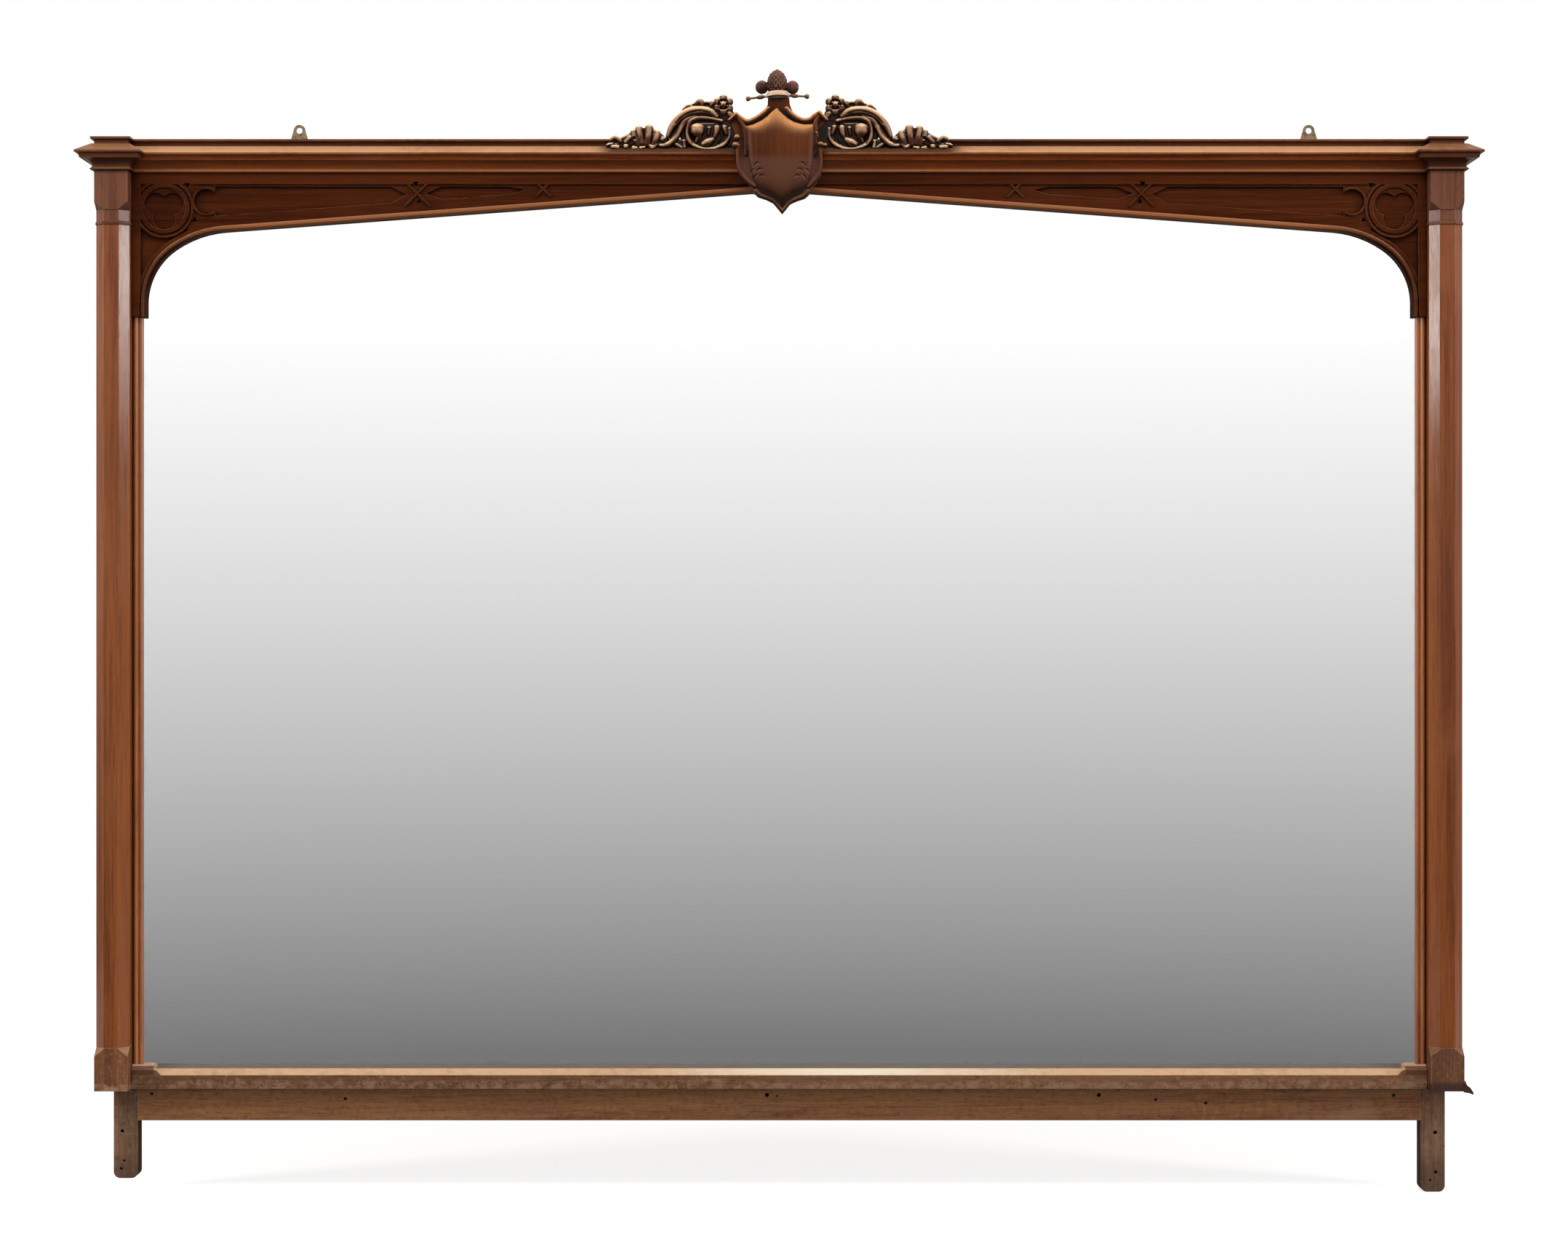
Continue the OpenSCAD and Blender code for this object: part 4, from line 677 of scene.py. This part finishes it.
sprig = [  # a plain leaf sprig in the field's left half
    [(-38, -27, 0.6, 0.5), (-34, -34, 0.9, 0.8), (-29, -43, 0.9, 0.8), (-25, -53, 0.6, 0.5)],
    [(-34.5, -33, 0.6, 0.6), (-31, -29.5, 1.3, 1.0), (-27, -29, 0.6, 0.5)],
    [(-33, -37, 0.6, 0.6), (-37.5, -39, 1.3, 1.0), (-40, -43, 0.5, 0.5)],
    [(-31, -40, 0.6, 0.6), (-26.5, -37.5, 1.3, 1.0), (-22, -38.5, 0.6, 0.5)],
    [(-29, -44, 0.6, 0.6), (-33, -47.5, 1.3, 1.0), (-33.5, -51, 0.5, 0.5)],
    [(-27, -47, 0.6, 0.6), (-22.5, -46, 1.2, 0.9), (-19.5, -48.5, 0.5, 0.5)],
]
shieldWork = {
    "reach": ((-71.0, 69.0), (-98.2, 62.6)), "finish": "shield_wood",
    "back": -60.8, "edge": 8.5, "step": 0.7, "floor": 0.0, "fieldFoot": 9.0, "swell": 12.8, "grounds": [],
    "plate": [(-15.4, 63.8), (-15.9, 51.9), (-20.4, 44.9), (-27.4, 38.4), (-36.4, 33.4), (-45.3, 32.4),
        (-52.3, 35.9), (-58.3, 41.4), (-68.3, 32.9), (-69.8, 28.9), (-65.3, 24.9), (-61.3, 14.0), (-58.3, 3.0),
        (-58.3, -9.0), (-59.3, -19.9), (-58.3, -32.9), (-54.3, -44.8), (-45.3, -54.8), (-35.9, -61.3),
        (-34.9, -67.8), (-29.4, -73.8), (-17.4, -77.7), (-8.5, -82.2), (-2.0, -89.7), (4.0, -97.2), (9.0, -90.7),
        (14.5, -83.7), (23.4, -79.7), (35.4, -75.7), (41.4, -70.3), (42.4, -62.3), (50.4, -56.3), (56.8, -45.8),
        (59.3, -31.9), (58.8, -17.9), (56.4, -7.0), (52.4, 6.0), (52.4, 15.0), (59.3, 24.0), (66.3, 29.4),
        (67.3, 32.4), (54.4, 43.4), (47.4, 37.9), (38.4, 33.9), (29.4, 34.4), (20.5, 39.4), (17.0, 45.9),
        (14.5, 52.4), (13.5, 63.8)],
    "field": [(-3.5, 46.9), (1.5, 40.9), (10.5, 32.9), (21.5, 27.4), (32.4, 24.9), (45.4, 24.9), (47.4, 16.0),
        (47.4, -4.0), (46.4, -23.9), (43.4, -43.8), (38.4, -57.8), (31.4, -66.8), (18.5, -73.8), (9.5, -80.7),
        (4.0, -88.7), (-1.5, -81.7), (-10.4, -74.8), (-23.4, -67.8), (-31.4, -58.8), (-37.4, -44.8), (-41.4, -25.9),
        (-43.8, -4.0), (-44.3, 11.0), (-45.3, 22.0), (-35.4, 24.9), (-24.4, 29.9), (-14.4, 36.9), (-8.5, 42.9)],
    "rolls": [
        [(-15.4, 46.9, 2.5, 10.5), (-21.4, 39.9, 4, 12.5), (-29.4, 33.9, 4.2, 13), (-38.4, 29.4, 4.2, 13),
         (-46.3, 28.9, 4, 12.5), (-54.3, 33.9, 4, 12), (-59.3, 38.4, 3.6, 11.5)],
        [(10.0, 46.9, 2.5, 10.5), (16.5, 38.9, 4, 12.5), (24.4, 32.9, 4.2, 13), (33.4, 29.9, 4.2, 13),
         (42.4, 31.4, 4, 12.5), (49.4, 36.9, 4, 12), (55.4, 40.4, 3.6, 11.5)],
        [(-67.8, 30.9, 2.8, 12.5), (-59.3, 38.4, 3.2, 13)],
        [(54.4, 40.9, 3.2, 13), (64.3, 31.4, 2.8, 12.5)],
        [(-54.3, 31.9, 3.4, 12), (-49.3, 23.0, 3.4, 12.5), (-46.3, 12.0, 3.2, 12), (-45.3, -1.0, 2.8, 11),
         (-45.3, -15.9, 2.2, 10)],
        [(53.4, 35.9, 3.4, 12), (49.4, 25.9, 3.4, 12.5), (49.4, 13.0, 3.2, 12), (49.4, -1.0, 2.8, 11),
         (48.4, -15.9, 2.2, 10)],
        [(-56.8, -4.0, 2.4, 10.5), (-56.8, -19.9, 2.6, 11.2), (-55.3, -33.9, 2.6, 11.2), (-50.3, -44.8, 2.8, 11.2),
         (-41.4, -54.3, 2.8, 11.2), (-33.4, -59.8, 2.4, 10.5)],
        [(54.9, -4.0, 2.4, 10.5), (56.8, -19.9, 2.6, 11.2), (55.9, -33.9, 2.6, 11.2), (52.4, -45.8, 2.8, 11.2),
         (45.4, -54.8, 2.8, 11.2), (39.4, -60.8, 2.4, 10.5)],
        [(-32.4, -65.8, 2, 10.5), (-26.4, -71.8, 2.2, 10.8), (-15.4, -75.7, 2.2, 10.8), (-6.5, -80.7, 2.2, 11),
         (-0.5, -87.7, 2, 11), (4.0, -94.2, 1.7, 10.5)],
        [(39.4, -65.8, 2, 10.5), (33.4, -72.8, 2.2, 10.8), (22.5, -77.2, 2.2, 10.8), (13.5, -82.2, 2.2, 11),
         (8.5, -88.7, 2, 11), (4.0, -94.2, 1.7, 10.5)],
        [(-58.3, 7.0, 3.8, 12.5)],
        [(-60.3, -3.5, 4.4, 13)],
        [(50.4, 13.0, 2.8, 12.8), (51.9, 8.0, 2.2, 11.5)],
        [(56.8, -2.5, 4, 13)],
        [(62.8, -3.5, 3, 12)],
    ],
    "hollows": sprig + [[(1.5 - across, *rest) for across, *rest in stroke] for stroke in sprig],
}
corniceTop = 1302.0
chisel = {
    "softening": 2,      # rounds of smoothing: no corner is sharper than the chisel leaves it
    "blur": 40,          # square millimetres that the ground round a form is averaged over
    "reliefUnit": 3.0,   # millimetres of relief that count as 1 in the finish
    "thinnest": 1.5,
    "margin": 0.02,      # how near a cut edge comes to a point of the grid, as a share of a step
    "sharpFrom": 55,     # degrees
    "pressure": 0.01, "rounds": 1500,  # of the swelling field
}


def rounded(stroke, parts=5):
    # a smooth row through the stroke's points
    if len(stroke) < 3:
        return [np.array(point, float) for point in stroke]
    points = [np.array(point, float) for point in [stroke[0], *stroke, stroke[-1]]]
    row = []
    for a, b, c, d in zip(points, points[1:], points[2:], points[3:]):
        for i in range(parts):
            t = i / parts
            row.append(0.5 * (2 * b + (c - a) * t + (2 * a - 5 * b + 4 * c - d) * t * t
                              + (3 * b - a - 3 * c + d) * t ** 3))
    return row + [points[-1]]


def strokeShare(stroke, across, up):
    # how far each spot lies from the stroke as a share of its half width, the room left and the height there
    share, room, height = np.full(across.shape, 99.0), np.full(across.shape, -99.0), np.zeros(across.shape)
    row = rounded(stroke)
    for first, second in zip(row, row[1:] or row):
        dx, dz = second[0] - first[0], second[1] - first[1]
        length = dx * dx + dz * dz
        along = np.clip(((across - first[0]) * dx + (up - first[1]) * dz) / length, 0, 1) if length else 0 * across
        here = first[2] + along * (second[2] - first[2])
        far = np.hypot(across - first[0] - along * dx, up - first[1] - along * dz)
        near = far / here < share
        share = np.where(near, far / here, share)
        height = np.where(near, first[3] + along * (second[3] - first[3]), height)
        room = np.maximum(room, here - far)
    return share, room, height


def insideDepth(outline, across, up):
    # distance to the outline, above zero inside it
    far, inside = np.full(across.shape, 999.0), np.zeros(across.shape, bool)
    for (x1, z1), (x2, z2) in zip(outline, outline[1:] + outline[:1]):
        dx, dz = x2 - x1, z2 - z1
        along = np.clip(((across - x1) * dx + (up - z1) * dz) / (dx * dx + dz * dz), 0, 1)
        far = np.minimum(far, np.hypot(across - x1 - along * dx, up - z1 - along * dz))
        crosses = (z1 > up) != (z2 > up)
        inside ^= crosses & (across < x1 + (up - z1) / (dz if dz else 1e-9) * dx)
    return np.where(inside, far, -far)


def withNeighbours(field, weight, mode):
    # each spot's own value, weighed, with its four neighbours' values added
    padded = np.pad(field, 1, mode=mode)
    return weight * field + padded[:-2, 1:-1] + padded[2:, 1:-1] + padded[1:-1, :-2] + padded[1:-1, 2:]


def pillow(inside):
    # the shape, 0 to 1, of a skin blown up inside an outline
    skin = np.zeros(inside.shape)
    for _ in range(chisel["rounds"]):
        skin = (withNeighbours(skin, 0, "constant") + chisel["pressure"]) / 4 * inside
    return np.sqrt(skin / skin.max())


def carvedHeights(work, across, up):
    # how far each spot lies inside the piece, and how high it stands
    room = np.full(across.shape, -99.0)
    height = np.full(across.shape, float(work["edge"]))
    if "plate" in work:
        room = insideDepth(work["plate"], across, up)
        inside = insideDepth(work["field"], across, up) > 0
        height = np.where(inside, work["fieldFoot"] + work["swell"] * pillow(inside), height)
    for kind in ("grounds", "rolls", "hollows"):
        for stroke in work[kind]:
            share, space, top = strokeShare(stroke, across, up)
            if kind == "hollows":
                form = np.maximum(height - top * np.sqrt(1 - np.clip(share, 0, 1) ** 2), chisel["thinnest"])
            else:
                room = np.maximum(room, space)
                form = np.maximum(height, top * (1 - np.clip(share, 0, 1) ** 8) ** 0.5 if kind == "grounds" else
                                  work["edge"] + (top - work["edge"]) * np.sqrt(1 - np.clip(share, 0, 1) ** 2))
            height = np.where(share < 1, form, height)
    return room, height


def carve(name, work, flip=1):
    # a grid over the piece, cut along its outline, with a flat back and walls between
    step = work["step"]
    left, right = sorted(flip * across for across in work["reach"][0])
    foot, top = work["reach"][1]
    xs, zs = np.arange(left, right + step, step), np.arange(foot, top + step, step)
    x, z = np.meshgrid(xs, zs)
    room, height = carvedHeights(work, x * flip, z)
    for _ in range(chisel["softening"]):
        height = withNeighbours(height, 4, "edge") / 8
    ground = height
    for _ in range(round(chisel["blur"] / step ** 2)):
        ground = withNeighbours(ground, 0, "edge") / 4
    proud = height - ground + np.minimum(height - work["floor"], 0)
    wide = len(xs)
    x, z, room, height, proud = (field.ravel() for field in (x, z, room, height, proud))
    corner = np.add.outer(np.arange(len(zs) - 1) * wide, np.arange(wide - 1)).ravel()
    triangles = np.concatenate([np.stack([corner, corner + 1, corner + wide + 1], 1),
                                np.stack([corner, corner + wide + 1, corner + wide], 1)])
    kept = room > 0
    count = kept[triangles].sum(1)
    faces = [tuple(face) for face in triangles[count == 3].tolist()]
    places = {i: (x[i], z[i], height[i], proud[i]) for i in np.unique(triangles[count == 3]).tolist()}
    cuts, walls = {}, []

    def crossing(inner, outer):
        # the point where the outline crosses the line between a kept point and a lost one
        key = (min(inner, outer), max(inner, outer))
        if key not in cuts:
            share = room[inner] / (room[inner] - room[outer])
            share = min(max(share, chisel["margin"]), 1 - chisel["margin"])
            cuts[key] = len(x) + len(cuts)
            places[cuts[key]] = tuple(field[inner] + share * (field[outer] - field[inner])
                                      for field in (x, z, height, proud))
        return cuts[key]

    for a, b, c in triangles[(count == 1) | (count == 2)].tolist():
        # turned until b and c are alike, both kept or both lost, and a is the other kind
        while kept[a] != (not kept[b] and not kept[c]) or kept[b] != kept[c]:
            a, b, c = b, c, a
        for i in (a, b, c):
            if kept[i]:
                places[i] = (x[i], z[i], height[i], proud[i])
        if kept[a]:
            p, q = crossing(a, b), crossing(a, c)
            faces.append((a, p, q))
            walls.append((p, q))
        else:
            p, q = crossing(b, a), crossing(c, a)
            faces += [(p, b, c), (p, c, q)]
            walls.append((q, p))
    order = {key: i for i, key in enumerate(places)}
    total = len(order)
    front = [(px / 1000, (work["back"] - ph) / 1000, (corniceTop + pz) / 1000) for px, pz, ph, _ in places.values()]
    back = [(px, work["back"] / 1000, pz) for px, _, pz in front]
    skin = [tuple(order[i] for i in face) for face in faces]
    rear = [tuple(total + i for i in reversed(face)) for face in skin]
    sides = [(order[p], total + order[p], total + order[q], order[q]) for p, q in walls]
    mesh = bpy.data.meshes.new(name)
    mesh.from_pydata(front + back, [], skin + rear + sides)
    relief = mesh.attributes.new("relief", "FLOAT", "POINT")
    relief.data.foreach_set("value", [place[3] / chisel["reliefUnit"] for place in places.values()] + [0.0] * total)
    mesh.shade_smooth()
    mesh.set_sharp_from_angle(angle=math.radians(chisel["sharpFrom"]))
    mesh.materials.append(finishes[work["finish"]])
    piece = bpy.data.objects.new(name, mesh)
    scene.collection.objects.link(piece)
    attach(piece, "root")
    return piece


for side, flip in (("left", -1), ("right", 1)):
    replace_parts(carve(side + "CarvedScroll", scrollWork, flip), side + "_crest_scroll")
    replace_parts(carve(side + "CarvedLeaf", leafWork, flip), side + "_crest_leaf")
shield = carve("carvedShield", shieldWork)
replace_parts(shield, "shield_cartouche", "shield_field")
shield.visible_glossy = nodes["shield_backing"].visible_glossy = False  # the glass doesn't show the shield's back

bud = {
    "centre": (-2.9, -65.3), "foot": 1373.0, "rows": 8, "around": 13, "height": 27.1,
    "radii": (9.4, 10.8, 11.4, 11.2, 10.6, 9.6, 7.6, 4.2), "berry": 3.1, "sizes": (0.86, 1.12), "seed": 7,
    "lobes": ((-23.8, 1379.0, 9.0, 9.4), (18.2, 1378.8, 9.0, 9.3)),  # across, up, radius, half height
    "flutes": 9, "fluteDepth": 0.13, "knop": (6.5, 5),  # the swelling between a lobe and the bud
    "lobeParts": (18, 108), "knopParts": (10, 24),  # faces up and round
}


def balls(name, sizes, seed, mark=None):
    # a ball on every point, each a little different; with a mark, on marked points only, and their core stays
    group, entry, leave, new, link = nodeTree(
        name, {"Points": "Geometry", "Radius": "Float", "Finish": "Material"}, "Balls")
    ball, place, size, real, smooth, paint = (new(kind) for kind in (
        "GeometryNodeMeshIcoSphere", "GeometryNodeInstanceOnPoints", "FunctionNodeRandomValue",
        "GeometryNodeRealizeInstances", "GeometryNodeSetShadeSmooth", "GeometryNodeSetMaterial"))
    threeWays = isinstance(sizes[0], tuple)
    size.data_type = "FLOAT_VECTOR" if threeWays else "FLOAT"
    low, high, out = (0, 1, 0) if threeWays else (2, 3, 1)
    size.inputs[low].default_value, size.inputs[high].default_value = sizes
    size.inputs["Seed"].default_value = seed
    ball.inputs["Subdivisions"].default_value = 3
    link(entry.outputs[1], ball.inputs["Radius"])
    link(ball.outputs[0], place.inputs["Instance"])
    link(size.outputs[out], place.inputs["Scale"])
    link(entry.outputs[2], paint.inputs["Material"])
    if mark:
        marked, join = new("GeometryNodeInputNamedAttribute"), new("GeometryNodeJoinGeometry")
        marked.data_type = "FLOAT"
        marked.inputs["Name"].default_value = mark
        link(marked.outputs[0], place.inputs["Selection"])
        inLine(link, entry, join)
        inLine(link, entry, place, join, real)
    else:
        inLine(link, entry, place, real)
    inLine(link, real, smooth, paint, leave)
    return group


def settled(mesh, group, values, name):
    # a piece made by a node tree from a mesh, and kept as a plain mesh
    piece = bpy.data.objects.new(name, mesh)
    scene.collection.objects.link(piece)
    modifier = piece.modifiers.new(group.name, "NODES")
    modifier.node_group = group
    sockets = {item.name: item.identifier for item in group.interface.items_tree if item.in_out == "INPUT"}
    for label, value in values.items():
        modifier[sockets[label]] = value
    bpy.context.view_layer.update()
    made = bpy.data.meshes.new_from_object(piece.evaluated_get(bpy.context.evaluated_depsgraph_get()))
    piece.modifiers.remove(modifier)
    piece.data = made
    made.name = name
    return piece


def ringShell(shape, centre, rows, around, twist):
    # closed rings of points from a foot point to a top point, after rows of radius, height and flute depth
    x, y = centre
    foot = shape.verts.new((x, y, rows[0][1]))
    rings = []
    for level, (radius, height, flute) in enumerate(rows[1:-1]):
        ring = []
        for i in range(around):
            angle = math.tau * (i + (0.5 * level if twist else 0)) / around
            here = radius * (1 - flute * (0.5 + 0.5 * math.cos(angle * bud["flutes"])))
            ring.append(shape.verts.new((x + here * math.cos(angle), y + here * math.sin(angle), height)))
        rings.append(ring)
    top = shape.verts.new((x, y, rows[-1][1]))
    for i in range(around):
        j = (i + 1) % around
        shape.faces.new((foot, rings[0][j], rings[0][i]))
        shape.faces.new((top, rings[-1][i], rings[-1][j]))
        for lower, upper in zip(rings, rings[1:]):
            shape.faces.new((lower[i], lower[j], upper[j], upper[i]))
    return [vertex for ring in rings for vertex in ring] + [top]


def ballRows(up, radius, half, parts, flute):
    turns = [math.pi * i / parts for i in range(parts + 1)]
    return [(radius * math.sin(turn) / 1000, (up - half * math.cos(turn)) / 1000, flute) for turn in turns]


def buildBud():
    core = bmesh.new()
    marks = core.verts.layers.float.new("berry")
    x, y = (value / 1000 for value in bud["centre"])
    foot, step = bud["foot"] / 1000, bud["height"] / bud["rows"] / 1000
    rows = [(0, foot, 0)] + [(r / 1000, foot + step * (i + 0.5), 0) for i, r in enumerate(bud["radii"])]
    for vertex in ringShell(core, (x, y), rows + [(0, foot + step * (bud["rows"] + 0.1), 0)], bud["around"], True):
        vertex[marks] = 1.0
    for across, up, radius, half in bud["lobes"]:
        rows = ballRows(up, radius, half, bud["lobeParts"][0], bud["fluteDepth"])
        ringShell(core, (across / 1000, y), rows, bud["lobeParts"][1], False)
        rows = ballRows(up, *bud["knop"], bud["knopParts"][0], 0)
        ringShell(core, ((across / 1000 + x) / 2, y), rows, bud["knopParts"][1], False)
    bmesh.ops.recalc_face_normals(core, faces=core.faces)
    mesh = bpy.data.meshes.new("budCore")
    core.to_mesh(mesh)
    core.free()
    berries = balls("berries", bud["sizes"], bud["seed"], "berry")
    piece = settled(mesh, berries, {"Radius": bud["berry"] / 1000, "Finish": finishes["bud"]}, "carvedBud")
    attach(piece, "root")
    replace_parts(piece, "finial_bud")


buildBud()

nails = {
    "head": 2.1, "inset": 34.0, "lowRow": 22.0, "highRow": 1256.0, "seed": 3,
    "sizes": ((0.85, 0.09, 0.85), (1.05, 0.12, 1.05)),  # shares of the head's radius: wide, proud, high
    "shanks": [(-17.0, -12.0, -11.0), (443.0, -12.0, -11.0)], "shankHead": 3.6,  # screws broken off in the base rail
    "strays": [(-3.3, -24.9, -12.2)], "strayHead": 2.2,
}
hammered = balls("nailHeads", nails["sizes"], nails["seed"])


def driveNails(name, places, radius, iron):
    mesh = bpy.data.meshes.new(name)
    mesh.from_pydata(places, [], [])
    piece = settled(mesh, hammered, {"Radius": radius / 1000, "Finish": finishes[iron]}, name)
    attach(piece, "root")


def buildNails():
    # two rows of three in each backboard, and the iron left in the base rail
    inset, lowRow, highRow = (nails[key] / 1000 for key in ("inset", "lowRow", "highRow"))
    places = []
    for number in range(1, 7):
        low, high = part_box(f"backboard_{number}")
        for x in (low[0] + inset, (low[0] + high[0]) / 2, high[0] - inset):
            places += [(x, high[1], lowRow), (x, high[1], highRow)]
    driveNails("backboardNails", places, nails["head"], "screw_steel")
    for name, spots, head in (("brokenScrews", nails["shanks"], nails["shankHead"]),
                              ("strayNail", nails["strays"], nails["strayHead"])):
        driveNails(name, [tuple(side / 1000 for side in spot) for spot in spots], head, "rustyIron")


buildNails()
